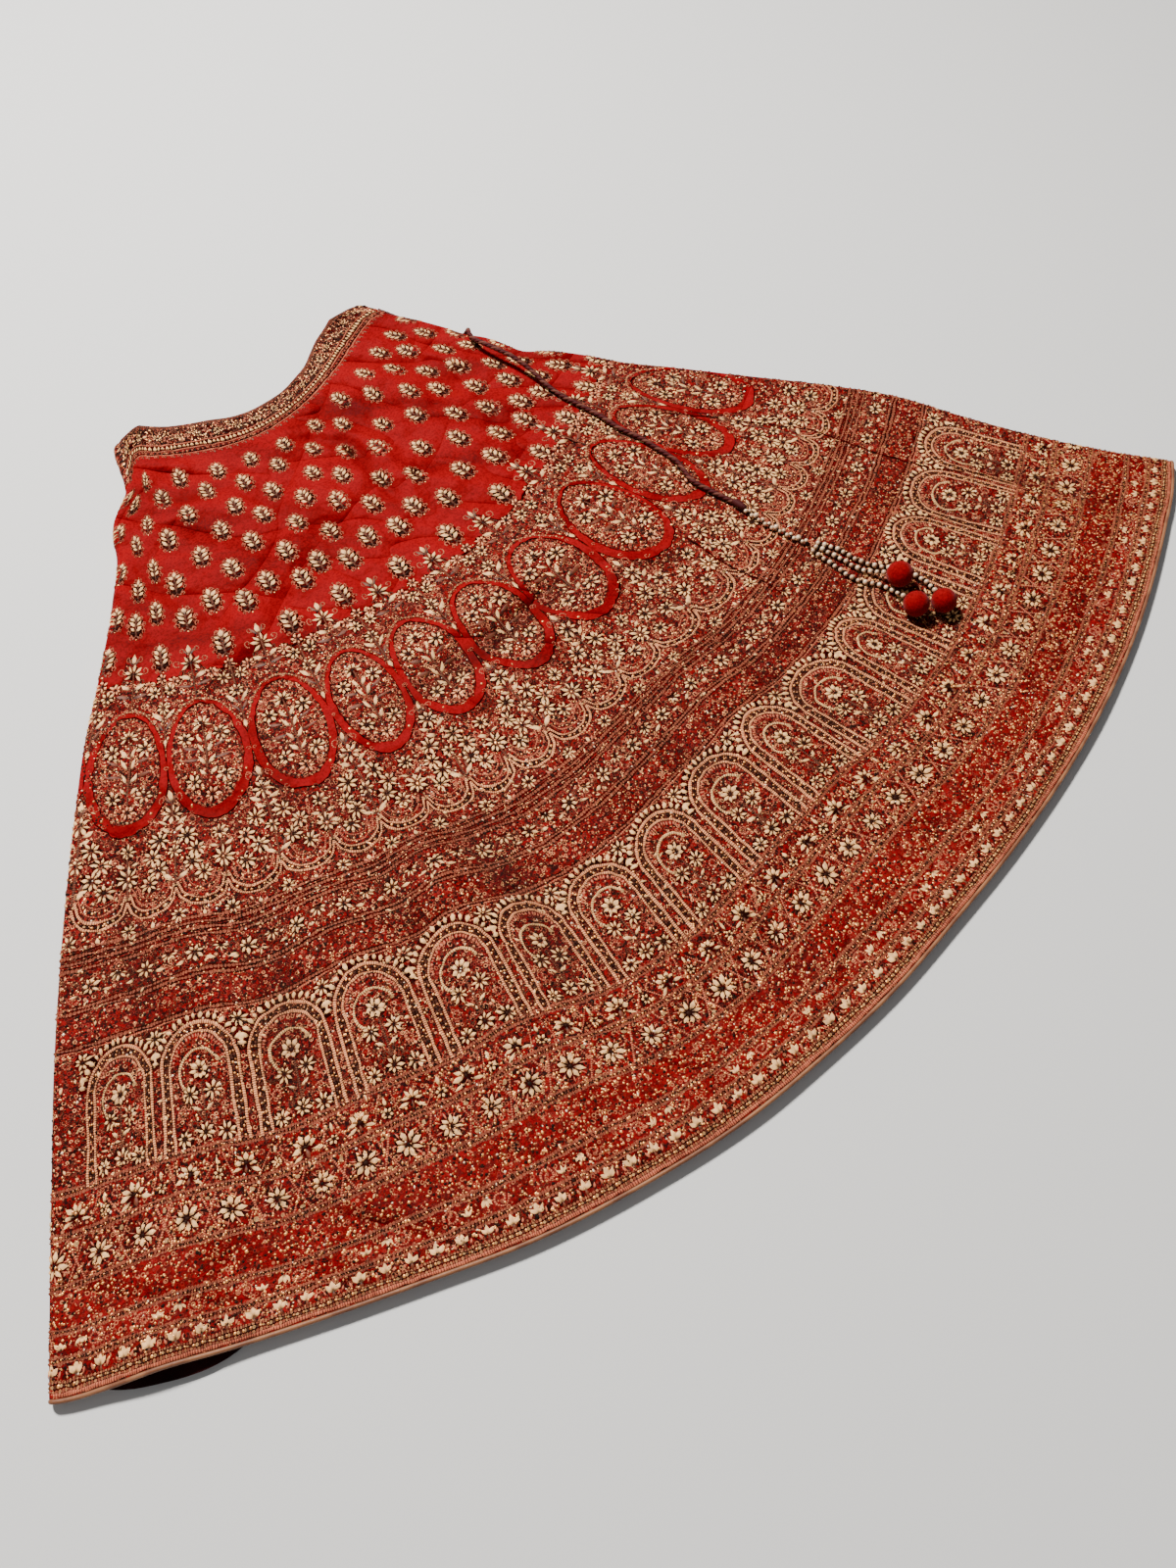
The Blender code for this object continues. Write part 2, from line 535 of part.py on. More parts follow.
def make_piping(name, start, end, gold):
    """A rolled edge along the hem: a six-sided tube that rides at the cloth's height."""
    columns = np.array(round_columns(start, end))
    inset = degrees(SEAM_GAP / HEM_RADIUS)
    columns[0] += inset
    columns[-1] -= inset
    radius = PIPING_WIDTH / 2
    hem = table_value(HEM, "radius", wrap(columns)) - radius
    core = middle(columns, hem, GORE_WALL)
    core[:, 2] = np.maximum(core[:, 2], radius)
    out = outward(columns, hem, GORE_WALL)
    heading = np.gradient(core, axis=0)
    heading /= np.linalg.norm(heading, axis=1, keepdims=True)
    down = np.cross(out, heading)
    down /= np.linalg.norm(down, axis=1, keepdims=True)
    out = np.cross(heading, down)
    body = bmesh.new()
    rings = []
    for centre, up, away in zip(core, out, down):
        ring = []
        for corner in range(6):
            turn = radians(60 * corner + 30)
            point = centre + radius * (cos(turn) * away + sin(turn) * up)
            point[2] = max(point[2], 0.0)
            ring.append(body.verts.new(point))
        rings.append(ring)
    for first, second in zip(rings, rings[1:]):
        for corner in range(6):
            following = (corner + 1) % 6
            body.faces.new((first[corner], first[following], second[following], second[corner]))
    body.faces.new(rings[0])
    body.faces.new(rings[-1])
    bmesh.ops.recalc_face_normals(body, faces=body.faces)
    mesh = bpy.data.meshes.new(name)
    body.to_mesh(mesh)
    body.free()
    mesh.shade_smooth()
    return add_object(name, mesh, gold)


def make_lining(cloth):
    """The dark lining's hem, which reaches past the lifted front hem at the left corner."""
    values = np.linspace(LINING_START, LINING_END, 9)
    radii = np.linspace(LINING_TOP_RADIUS, LINING_HEM_RADIUS, 6)
    places, rows = np.meshgrid(values, radii, indexing="ij")
    short = np.abs((places - (LINING_START + LINING_END) / 2) / ((LINING_END - LINING_START) / 2))
    rows = rows - (rows - LINING_TOP_RADIUS) * 0.22 * short ** 3
    points = middle(places, rows, GORE_WALL)
    over_piping = smooth_step(1.336, 1.352, rows)
    base = GORE_WALL + SEAM_GAP + (PIPING_WIDTH - GORE_WALL) * over_piping
    lower, upper = points.copy(), points.copy()
    lower[..., 2] = base
    upper[..., 2] = base + LINING_WALL
    return add_wall("lining_hem", lower, upper, cloth)


def cloth_tree(things):
    """A search tree over the faces of some objects, from the apex."""
    points, faces = [], []
    for thing in things:
        first = len(points)
        points.extend(vertex.co for vertex in thing.data.vertices)
        faces.extend([first + corner for corner in face.vertices] for face in thing.data.polygons)
    return BVHTree.FromPolygons(points, faces)


def rest_height(tree, x, y, radius):
    """Height of the middle of something round that rests on the cloth at a plan point."""
    highest = 0.0
    for distance in (0.0, radius * 0.5, radius * 0.9):
        drop = radius - np.sqrt(radius ** 2 - distance ** 2)
        for turn in range(0, 360, 30):
            above = Vector((x + distance * cos(radians(turn)), y + distance * sin(radians(turn)), 1.0))
            hit = tree.ray_cast(above, Vector((0.0, 0.0, -1.0)))[0]
            highest = max(highest, hit.z - drop) if hit else highest
    return highest + radius + REST_GAP


def over_cloth(tree, route, diameter):
    """A route over the front as points from the apex."""
    points = []
    for place in route:
        x, y = plan(place.angle, place.radius)
        points.append(Vector((x, y, rest_height(tree, x, y, diameter / 2) + place.height)))
    return points


def over_floor(route):
    """A route beside the skirt as points from the apex."""
    return [Vector((*plan(place.angle, place.radius), place.height)) for place in route]


def smooth_curve(points, spacing):
    """Evenly spaced points on the smooth curve through the given ones."""
    padded = [2 * points[0] - points[1]] + points + [2 * points[-1] - points[-2]]
    fine = []
    for before, start, end, after in zip(padded, padded[1:], padded[2:], padded[3:]):
        for step in range(12):
            t = step / 12
            fine.append(0.5 * (2 * start + (end - before) * t
                               + (2 * before - 5 * start + 4 * end - after) * t ** 2
                               + (3 * start - before - 3 * end + after) * t ** 3))
    fine.append(points[-1])
    travelled = [0.0]
    for first, second in zip(fine, fine[1:]):
        travelled.append(travelled[-1] + (second - first).length)
    count = max(2, round(travelled[-1] / spacing))
    wanted = np.linspace(0.0, travelled[-1], count + 1)
    return [Vector([float(np.interp(at, travelled, [point[axis] for point in fine])) for axis in range(3)])
            for at in wanted]


def make_cord(name, points, diameter, material):
    """A plain tube along a smooth curve through the points."""
    data = bpy.data.curves.new(name, "CURVE")
    data.dimensions = "3D"
    data.bevel_depth = diameter / 2
    data.bevel_resolution = 2
    data.use_fill_caps = True
    places = smooth_curve(points, diameter * TUBE_STEP)
    spline = data.splines.new("POLY")
    spline.points.add(len(places) - 1)
    for point, place in zip(spline.points, places):
        point.co = (*place, 1.0)
    return add_object(name, data, material)


def make_cap(start, end, felt):
    """The wrapped end of the cord: a small barrel between two points."""
    body = bmesh.new()
    axis = (end - start).normalized()
    turn = axis.to_track_quat("Z", "Y")
    shape = ((0.0, 0.70), (0.18, 0.96), (0.5, 1.0), (0.82, 0.90), (1.0, 0.62))
    rings = []
    for along, width in shape:
        ring = []
        for corner in range(12):
            angle = radians(30 * corner)
            offset = Vector((cos(angle), sin(angle), 0.0)) * width * CAP_DIAMETER / 2
            ring.append(body.verts.new(start.lerp(end, along) + turn @ offset))
        rings.append(ring)
    for first, second in zip(rings, rings[1:]):
        for corner in range(12):
            following = (corner + 1) % 12
            body.faces.new((first[corner], first[following], second[following], second[corner]))
    body.faces.new(rings[0])
    body.faces.new(rings[-1])
    bmesh.ops.recalc_face_normals(body, faces=body.faces)
    mesh = bpy.data.meshes.new("cord_cap")
    body.to_mesh(mesh)
    body.free()
    mesh.shade_smooth()
    mesh.set_sharp_from_angle(angle=radians(50))
    return add_object("cord_cap", mesh, felt)


def make_ball(tree, ball, felt):
    """A felt pom-pom resting on the front; returns its centre."""
    x, y = plan(ball.angle, ball.radius)
    centre = Vector((x, y, rest_height(tree, x, y, ball.diameter / 2)))
    body = bmesh.new()
    bmesh.ops.create_uvsphere(body, u_segments=16, v_segments=10, radius=ball.diameter / 2)
    bmesh.ops.translate(body, verts=body.verts, vec=centre)
    mesh = bpy.data.meshes.new(ball.name)
    body.to_mesh(mesh)
    body.free()
    mesh.shade_smooth()
    add_object(ball.name, mesh, felt)
    return centre


def make_drawstring(gores, silk, felt, pearl):
    """The cord, its wrapped end, the beaded stem, and three strands that each end in a pom-pom."""
    tree = cloth_tree(gores)
    cord = over_floor(CORD_BESIDE) + over_cloth(tree, CORD_OVER, CORD_DIAMETER)
    stem = over_cloth(tree, STEM_OVER, STEM_DIAMETER)
    make_cord("drawstring", cord, CORD_DIAMETER, silk)
    lift = Vector((0.0, 0.0, (CAP_DIAMETER - CORD_DIAMETER) / 2))
    along = (stem[0] - cord[-1]).normalized() * 2 * SEAM_GAP
    make_cap(cord[-1] + along + lift, stem[0] - along + lift, felt)
    make_cord("bead_stem", stem, STEM_DIAMETER, pearl)
    for ball in BALLS:
        centre = make_ball(tree, ball, felt)
        strand = over_cloth(tree, ball.strand, STRAND_DIAMETER)
        reach = ball.diameter / 2 + SEAM_GAP
        strand.append(centre + (strand[-1] - centre).normalized() * reach)
        make_cord(ball.name.replace("pompom", "bead_strand"), strand, STRAND_DIAMETER, pearl)


def clear_scene():
    """Remove whatever the scene starts with."""
    for thing in list(bpy.data.objects):
        bpy.data.objects.remove(thing, do_unlink=True)


def main():
    """Build the skirt."""
    clear_scene()
    silk = add_material("red_silk", RED_SILK, 0.62)
    gold = add_material("gold_piping", GOLD_THREAD, 0.5, 0.3)
    lining = add_material("dark_lining", DARK_LINING, 0.7)
    gores = make_gores(silk)
    make_waistband(silk)
    make_piping("hem_piping_front", LEFT_JOINT, RIGHT_JOINT, gold)
    make_piping("hem_piping_back", RIGHT_JOINT, LEFT_JOINT + 2 * HALF_ROUND, gold)
    make_lining(lining)
    make_drawstring(gores, add_material("twisted_cord", RED_SILK, 0.7),
                    add_material("red_felt", RED_FELT, 0.9), add_material("pearl_beads", PEARL, 0.3))


main()
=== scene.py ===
"""Looks of a lehenga skirt that lies flat: embroidered silk over its ten gores and waistband, gold piping, a
dark lining hem, and a twisted drawstring whose bead strands end in felt pom-poms.

Metres and degrees. The cloth is a fan, measured from its apex: a place on it has a round value (0 in the
middle of the front, 33 at a side fold, 67 in the middle of the back, which lies below) and a row, its nominal
radius (0.375 at the waist seam, 1.368 at the hem). Stitches are drawn flat in these two and then laid on it.
"""

import logging
import math
from dataclasses import dataclass, field
from enum import Enum
from typing import Callable, Dict, Iterable, List, NamedTuple, Optional, Sequence, Tuple, Union

import bpy
import numpy as np
from bpy.types import Material, Node, NodeSocket, Object
from mathutils import Matrix, Vector, noise
from mathutils.bvhtree import BVHTree


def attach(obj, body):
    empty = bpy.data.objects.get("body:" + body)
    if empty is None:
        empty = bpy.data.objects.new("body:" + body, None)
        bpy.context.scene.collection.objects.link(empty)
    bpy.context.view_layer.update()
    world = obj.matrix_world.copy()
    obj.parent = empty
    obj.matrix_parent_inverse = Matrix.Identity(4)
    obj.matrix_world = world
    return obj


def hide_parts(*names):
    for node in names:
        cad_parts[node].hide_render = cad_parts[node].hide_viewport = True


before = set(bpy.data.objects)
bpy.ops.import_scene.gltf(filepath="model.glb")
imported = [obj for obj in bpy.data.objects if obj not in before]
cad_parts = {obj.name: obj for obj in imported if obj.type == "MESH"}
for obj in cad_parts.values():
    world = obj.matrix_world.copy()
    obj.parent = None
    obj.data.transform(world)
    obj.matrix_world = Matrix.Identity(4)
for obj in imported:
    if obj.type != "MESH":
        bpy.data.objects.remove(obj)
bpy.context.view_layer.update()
log = logging.getLogger("skirt")

Array = np.ndarray
Place = Tuple[float, float]
Colour = Tuple[float, float, float]
Each = Union[float, Sequence[float]]      # one number for all copies of a motif, or one for each

BODY = "root"
APEX = Vector((0.00358, 0.82777, 0.0))
GORE_WALL = 0.0024
BAND_WALL = 0.0030
GORE_COUNT = 10
GORE_STEP = 13.4
FIRST_SEAM = 1.1
LEFT_JOINT = FIRST_SEAM - 3 * GORE_STEP
RIGHT_JOINT = FIRST_SEAM + 3 * GORE_STEP
FULL_ROUND = 134.0
SEAM_ROW = 0.375
HEM_ROW = 1.3677
MILLIMETRE = 0.001
SIDES = (-1.0, 1.0)
STREWN = 33.3             # how far round the stitches are strewn at random
LINE_FOOT = 0.15          # how high the edge of a stitched line or a bead lies, in millimetres
# the dark patches and lines laid under motifs are painted shadow
FLAT_HEIGHT = 0.2         # how high a dark patch under a motif lies, in millimetres
OUTER_OVAL_PITCH = 6.09   # the ovals' pitch past the last one on either side, in degrees
BAND_TOP_ROW = 0.335
PIPING_WIDTH = 0.0040
SEAM_GAP = 0.0003
LINING_WALL = 0.0010
LINING_START, LINING_END = -40.8, -35.0
LINING_TOP_ROW, LINING_HEM_ROW = 1.322, 1.3760
LINING_LIFT = (1.336, 1.352)      # the rows between which it rises on to the back's piping
LINING_END_CUT = 0.22             # how much shorter it is at its two ends, as a share of its depth
OVAL_CENTRES = (-29.9, -24.2, -17.8, -11.9, -6.3, -0.2, 6.2, 13.9, 20.0, 25.1, 30.6)
OVAL_PITCH = 6.05
ARCH_PILLARS = (-31.93, -28.77, -24.77, -20.72, -16.59, -12.24, -8.83, -4.81, -0.51, 3.99, 8.01, 12.21,
                15.66, 20.33, 24.14, 28.2, 32.2)
OVALS_ROW = 0.806
FRONT_BAND_FLAT = (0.512, 0.0405)
BACK_BAND_FLAT = (0.360, 0.0408)


# ---------------- the cloth's form

class Edge(NamedTuple):
    """Where the side folds lie at a radius: their outermost angles, and the roll's radius."""

    radius: float
    left: float
    right: float
    roll: float


class Waist(NamedTuple):
    """Radii of the waistband's top edge and of its seam at a round value."""

    round: float
    top: float
    seam: float


class Hem(NamedTuple):
    """The hem's radius at a round value."""

    round: float
    radius: float


class Drift(NamedTuple):
    """How far the woven rows have slipped towards the hem at a round value, as the cloth lies."""

    round: float
    slip: float


class Fold(NamedTuple):
    """A ridge, or a trough where height is negative, through three places on the front."""

    start_angle: float
    start_radius: float
    mid_angle: float
    mid_radius: float
    end_angle: float
    end_radius: float
    half_width: float
    height: float


class Route(NamedTuple):
    """A place that a strand passes: its angle and radius from the apex, and its height."""

    angle: float
    radius: float
    height: float


class Ball(NamedTuple):
    """A pom-pom: where it lies, its diameter, and the route of its strand."""

    name: str
    angle: float
    radius: float
    diameter: float
    strand: List[Route]


# the side folds: their outermost angles, and the roll's radius
EDGES = [Edge(*row) for row in (
    (0.318, 30.4, 30.4, 0.0078), (0.33, 31.6, 32.4, 0.0078), (0.345, 32, 33.4, 0.0078),
    (0.365, 31.4, 33, 0.0077), (0.385, 30.6, 32.5, 0.0076), (0.405, 30, 32.4, 0.0075),
    (0.422, 29.8, 32.4, 0.0073), (0.442, 30.6, 32.2, 0.0071), (0.465, 31.5, 31.9, 0.0069),
    (0.49, 31.5, 31.35, 0.0067), (0.52, 31, 31.55, 0.0065), (0.545, 31, 31.1, 0.0064),
    (0.575, 31.3, 30.5, 0.0063), (0.605, 31.5, 31.4, 0.0062), (0.65, 32, 31.9, 0.006),
    (0.7, 32.5, 31.95, 0.0058), (0.76, 33.1, 32.5, 0.0056), (0.85, 33.4, 33.1, 0.0054),
    (0.95, 33.5, 33.65, 0.0052), (1.04, 33.45, 33.7, 0.005), (1.12, 33.3, 32.95, 0.0048),
    (1.2, 33.05, 32.45, 0.0046), (1.29, 32.8, 32.3, 0.0044), (1.376, 32.55, 32.45, 0.0042),
)]

# radii of the band's top edge and of its seam, right round
WAIST = [Waist(*row) for row in (
    (-67, 0.3435, 0.385), (-58, 0.35, 0.392), (-50, 0.362, 0.403), (-42, 0.371, 0.414), (-36, 0.37, 0.42),
    (-34, 0.362, 0.421), (-33, 0.344, 0.41), (-31.5, 0.333, 0.396), (-30, 0.324, 0.378),
    (-28, 0.319, 0.3675), (-24, 0.32, 0.369), (-20, 0.3245, 0.372), (-16, 0.3295, 0.377),
    (-12, 0.335, 0.384), (-8, 0.344, 0.387), (-4, 0.3485, 0.3885), (0, 0.3485, 0.386), (4, 0.347, 0.382),
    (8, 0.341, 0.377), (12, 0.335, 0.372), (16, 0.325, 0.367), (20, 0.3175, 0.362), (24, 0.317, 0.36),
    (28, 0.319, 0.362), (31, 0.327, 0.368), (33, 0.339, 0.378), (34, 0.353, 0.392), (38, 0.36, 0.4),
    (44, 0.36, 0.401), (52, 0.354, 0.396), (60, 0.347, 0.389), (67, 0.3435, 0.385),
)]

HEM = [Hem(*row) for row in (
    (-67, 1.362), (-40, 1.36), (-34.5, 1.3705), (-33, 1.376), (-31, 1.373), (-29, 1.3682), (-27, 1.3665),
    (-24, 1.3652), (-20, 1.3668), (-16, 1.3728), (-12, 1.3752), (-8, 1.3768), (-4, 1.3738), (0, 1.3708),
    (4, 1.366), (8, 1.3652), (14, 1.3662), (20, 1.3674), (28, 1.3682), (31, 1.37), (33, 1.3675),
    (34.5, 1.363), (40, 1.36), (67, 1.362),
)]

# ridges of the front have a height over 0, and troughs one under 0
FOLDS = [Fold(*row) for row in (
    # a tuck across the middle ovals
    (-13, 0.8, -1, 0.785, 10, 0.785, 0.02, 0.0065), (-12, 0.843, -2, 0.824, 8.4, 0.822, 0.011, -0.01),
    (-11, 0.88, -2, 0.862, 8, 0.86, 0.02, 0.004),
    # under the waistband
    (-29, 0.395, -24, 0.385, -17, 0.415, 0.012, 0.0065),
    (-28.5, 0.425, -20.9, 0.446, -14.9, 0.447, 0.008, -0.0085),
    (-30, 0.455, -27, 0.5, -20, 0.47, 0.018, 0.006),
    (-13.5, 0.455, -6.5, 0.563, -4.3, 0.602, 0.01, -0.0065), (-6, 0.47, -2.8, 0.54, -2, 0.59, 0.013, 0.005),
    (1, 0.398, 9.3, 0.431, 10.2, 0.478, 0.008, -0.007), (-1.3, 0.425, 4.2, 0.475, 2, 0.6, 0.007, -0.007),
    (5, 0.455, 6.5, 0.52, 4, 0.6, 0.011, 0.005), (12, 0.395, 18.4, 0.443, 14, 0.56, 0.02, 0.0055),
    (6.2, 0.558, 8, 0.58, 10.4, 0.59, 0.006, -0.004), (22.5, 0.44, 23.5, 0.502, 25.9, 0.539, 0.014, -0.006),
    (22.8, 0.542, 18.7, 0.591, 18, 0.652, 0.008, -0.006), (26.5, 0.42, 25, 0.48, 28, 0.54, 0.009, 0.004),
    # down the plain field and round its foot
    (-28, 0.544, -24.5, 0.6, -22.1, 0.669, 0.012, -0.0045), (-24, 0.56, -19, 0.62, -17, 0.68, 0.028, 0.004),
    (-23.3, 0.732, -20.5, 0.712, -17.6, 0.693, 0.008, -0.006),
    (15.5, 0.711, 19, 0.7, 22.1, 0.691, 0.008, -0.005),
    # across the ovals
    (-30.4, 0.8, -26.3, 0.87, -21.6, 0.898, 0.008, -0.007),
    (-27.5, 0.78, -24, 0.84, -21, 0.85, 0.016, 0.0055),
    (-20.1, 0.799, -19.8, 0.871, -19.4, 0.965, 0.009, -0.007),
    (-15.8, 0.78, -14.6, 0.86, -14, 0.95, 0.018, 0.0075),
    (-17.5, 0.849, -16.9, 0.9, -16.1, 0.957, 0.008, -0.0045),
    (10.9, 0.876, 12.5, 0.886, 14.1, 0.902, 0.007, -0.005),
    # flutes and troughs down through the arches
    (-30.2, 0.88, -29.7, 0.99, -28.1, 1.179, 0.013, -0.007),
    (-27, 0.93, -26, 1.04, -25.5, 1.2, 0.026, 0.007),
    (-22.4, 1.02, -22.6, 1.105, -23, 1.18, 0.012, -0.0095),
    (-19.8, 0.98, -19, 1.08, -18.8, 1.23, 0.03, 0.008),
    (-16.5, 0.985, -15.8, 1.04, -15.3, 1.095, 0.01, -0.005),
    (-13.6, 0.97, -13.3, 1.07, -13.8, 1.2, 0.02, 0.006),
    (-11.8, 0.96, -9.9, 1.095, -10.4, 1.195, 0.013, -0.0105),
    (-5.5, 0.96, -4.5, 1.08, -4.5, 1.24, 0.036, 0.0085), (0.6, 1, 2, 1.071, 1, 1.165, 0.01, -0.0065),
    (5.2, 0.96, 5, 1.06, 4.8, 1.22, 0.026, 0.0065), (9.2, 1, 8.6, 1.102, 8.3, 1.17, 0.01, -0.0075),
    (13.5, 0.96, 13, 1.08, 13, 1.23, 0.034, 0.007), (17.8, 1, 17.2, 1.1, 17, 1.2, 0.018, -0.005),
    (22.5, 0.98, 22, 1.09, 22.2, 1.24, 0.034, 0.007), (24.6, 1.06, 25, 1.12, 24.4, 1.19, 0.01, -0.007),
    (27.2, 1.06, 27, 1.18, 26.8, 1.3, 0.018, 0.006), (30.3, 1.1, 29, 1.178, 28.5, 1.354, 0.011, -0.0085),
    # at the hem
    (-7, 1.23, -6.5, 1.29, -6.5, 1.365, 0.04, 0.003), (-2.2, 1.2, -2, 1.26, -2, 1.32, 0.008, -0.003),
    (-24.2, 1.215, -23.2, 1.29, -22.9, 1.34, 0.016, 0.0035),
    (-28.8, 1.27, -28.9, 1.33, -29, 1.39, 0.042, 0.01), (16, 1.25, 16, 1.3, 16.2, 1.366, 0.05, 0.003),
)]

DRIFTS = [Drift(*row) for row in (
    (-34, 0.018), (-33, 0.018), (-30.5, 0.01), (-28, 0.003), (-26, 0.004), (-24, 0.008), (-22, 0.005),
    (-20, 0.001), (-16, 0), (-13.5, -0.004), (-12, -0.001), (-10, 0.008), (-8, 0.014), (-6, 0.0145),
    (-4, 0.012), (-2, 0.004), (0, -0.002), (3, -0.008), (7, -0.009), (9, -0.004), (12, 0.001), (16, 0.002),
    (20, 0), (28, -0.002), (34, -0.003),
)]

# beside the right side fold: heights over the floor
CORD_BESIDE = [Route(*stop) for stop in (
    (33.57, 0.366, 0.009), (33.27, 0.378, 0.008), (33.05, 0.39, 0.0063), (32.94, 0.402, 0.0046),
    (32.9, 0.418, 0.0036), (32.8, 0.434, 0.0036), (32.64, 0.448, 0.0036), (32.4, 0.462, 0.0036),
    (32.14, 0.474, 0.0036), (32, 0.482, 0.0036), (31.86, 0.488, 0.0048), (31.9, 0.4926, 0.0108),
    (31.52, 0.4964, 0.0178), (30.8, 0.4996, 0.0209),
)]
# over the front: heights over where it would rest on the cloth
CORD_OVER = [Route(*stop) for stop in (
    (30.12, 0.504, 0.0022), (29.54, 0.51, 0.003), (28.92, 0.5194, 0.0068), (28.31, 0.5361, 0.0095),
    (27.84, 0.5527, 0.0108), (27.53, 0.5685, 0.0103), (27.15, 0.5832, 0.009), (26.72, 0.5982, 0.007),
    (26.2, 0.6116, 0.0046), (25.7, 0.624, 0.0022), (25.25, 0.6371, 0.0006), (24.75, 0.6536, 0),
    (24.38, 0.674, 0), (23.74, 0.7075, 0), (22.98, 0.7381, 0), (22.69, 0.7656, 0), (22.12, 0.7948, 0),
    (21.53, 0.8216, 0), (20.8, 0.8372, 0), (20.17, 0.852, 0), (19.9, 0.8736, 0), (19.74, 0.893, 0),
    (19.64, 0.908, 0),
)]
STEM_OVER = [Route(*stop) for stop in (
    (19.36, 0.9262, 0.0008), (19.16, 0.9389, 0), (19.03, 0.948, 0), (18.87, 0.96, 0), (18.82, 0.9746, 0),
    (18.75, 0.99, 0), (18.74, 1.01, 0),
)]
FAR_STRAND_OVER = [Route(*stop) for stop in (
    (19.06, 1.016, 0), (19.12, 1.03, 0), (19.17, 1.0441, 0), (19.02, 1.058, 0), (18.96, 1.072, 0),
    (19.02, 1.085, 0), (19.18, 1.097, 0), (19.34, 1.108, 0), (19.42, 1.119, 0), (19.4, 1.13, 0.001),
    (19.27, 1.1405, 0.0025), (19.02, 1.15, 0.0045),
)]
MIDDLE_STRAND_OVER = [Route(*stop) for stop in (
    (18.74, 1.0165, 0), (18.74, 1.028, 0), (18.65, 1.04, 0), (18.58, 1.0547, 0), (18.44, 1.068, 0),
    (18.44, 1.0816, 0.001), (18.48, 1.091, 0.004),
)]
NEAR_STRAND_OVER = [Route(*stop) for stop in (
    (18.42, 1.016, 0), (18.24, 1.026, 0), (18.12, 1.038, 0), (17.89, 1.0548, 0), (17.7, 1.07, 0),
    (17.72, 1.084, 0), (17.9, 1.096, 0), (17.98, 1.109, 0), (17.86, 1.119, 0.002), (17.72, 1.127, 0.005),
)]

BALLS = (
    Ball("pompom_1", 18.58, 1.1175, 0.0300, MIDDLE_STRAND_OVER),
    Ball("pompom_2", 17.23, 1.1487, 0.0292, NEAR_STRAND_OVER),
    Ball("pompom_3", 18.10, 1.1725, 0.0280, FAR_STRAND_OVER),
)

# diameters of the beads in order; a dark bead's is negative: black spacers, made wide so that they also stand
# in for the shadow between the pearls
STEM_BEADS = (0.0050, 0.0046, -0.0050, 0.0050, 0.0068, -0.0050, 0.0046, 0.0052, -0.0050)
STRAND_BEADS = (0.0052, -0.0048, 0.0060, -0.0048)


def table_value(rows: Sequence[NamedTuple], column: str, at: Array) -> Array:
    """Read a named column on the smooth curve through a table's rows.

    Args:
        rows: The table, keyed by its rows' first value.
        column: The column's name.
        at: Where to read it.

    Returns:
        The values, held at the table's ends.
    """
    keys = np.array([row[0] for row in rows])
    values = np.array([getattr(row, column) for row in rows])
    slopes = np.gradient(values, keys)
    at = np.clip(np.asarray(at, float), keys[0], keys[-1])
    left = np.clip(np.searchsorted(keys, at, side="right") - 1, 0, len(keys) - 2)
    step = keys[left + 1] - keys[left]
    t = (at - keys[left]) / step
    return ((1 + 2 * t) * (1 - t) ** 2 * values[left] + t * (1 - t) ** 2 * step * slopes[left]
            + t * t * (3 - 2 * t) * values[left + 1] + t * t * (t - 1) * step * slopes[left + 1])


def travelled_along(path: Array) -> Array:
    """Return how far along a path each of its points lies."""
    return np.concatenate([[0.0], np.cumsum(np.linalg.norm(np.diff(path, axis=0), axis=1))])


def spaced_along(path: Array, wanted: Array) -> Array:
    """Return the places at the wanted distances along a path."""
    travelled = travelled_along(path)
    return np.stack([np.interp(wanted, travelled, path[:, axis]) for axis in range(path.shape[1])], axis=-1)


def unit(vectors: Array) -> Array:
    """Return vectors with their lengths made 1."""
    return vectors / np.linalg.norm(vectors, axis=-1, keepdims=True)


def smooth_step(low: float, high: float, at: Array) -> Array:
    """Return 0 under low, 1 over high, and a smooth rise between."""
    t = np.clip((np.asarray(at, float) - low) / (high - low), 0.0, 1.0)
    return t * t * (3 - 2 * t)


def plan(angle: Array, radius: Array) -> Tuple[Array, Array]:
    """Return plan coordinates from the fan's apex."""
    turn = np.radians(angle)
    return radius * np.sin(turn), -radius * np.cos(turn)


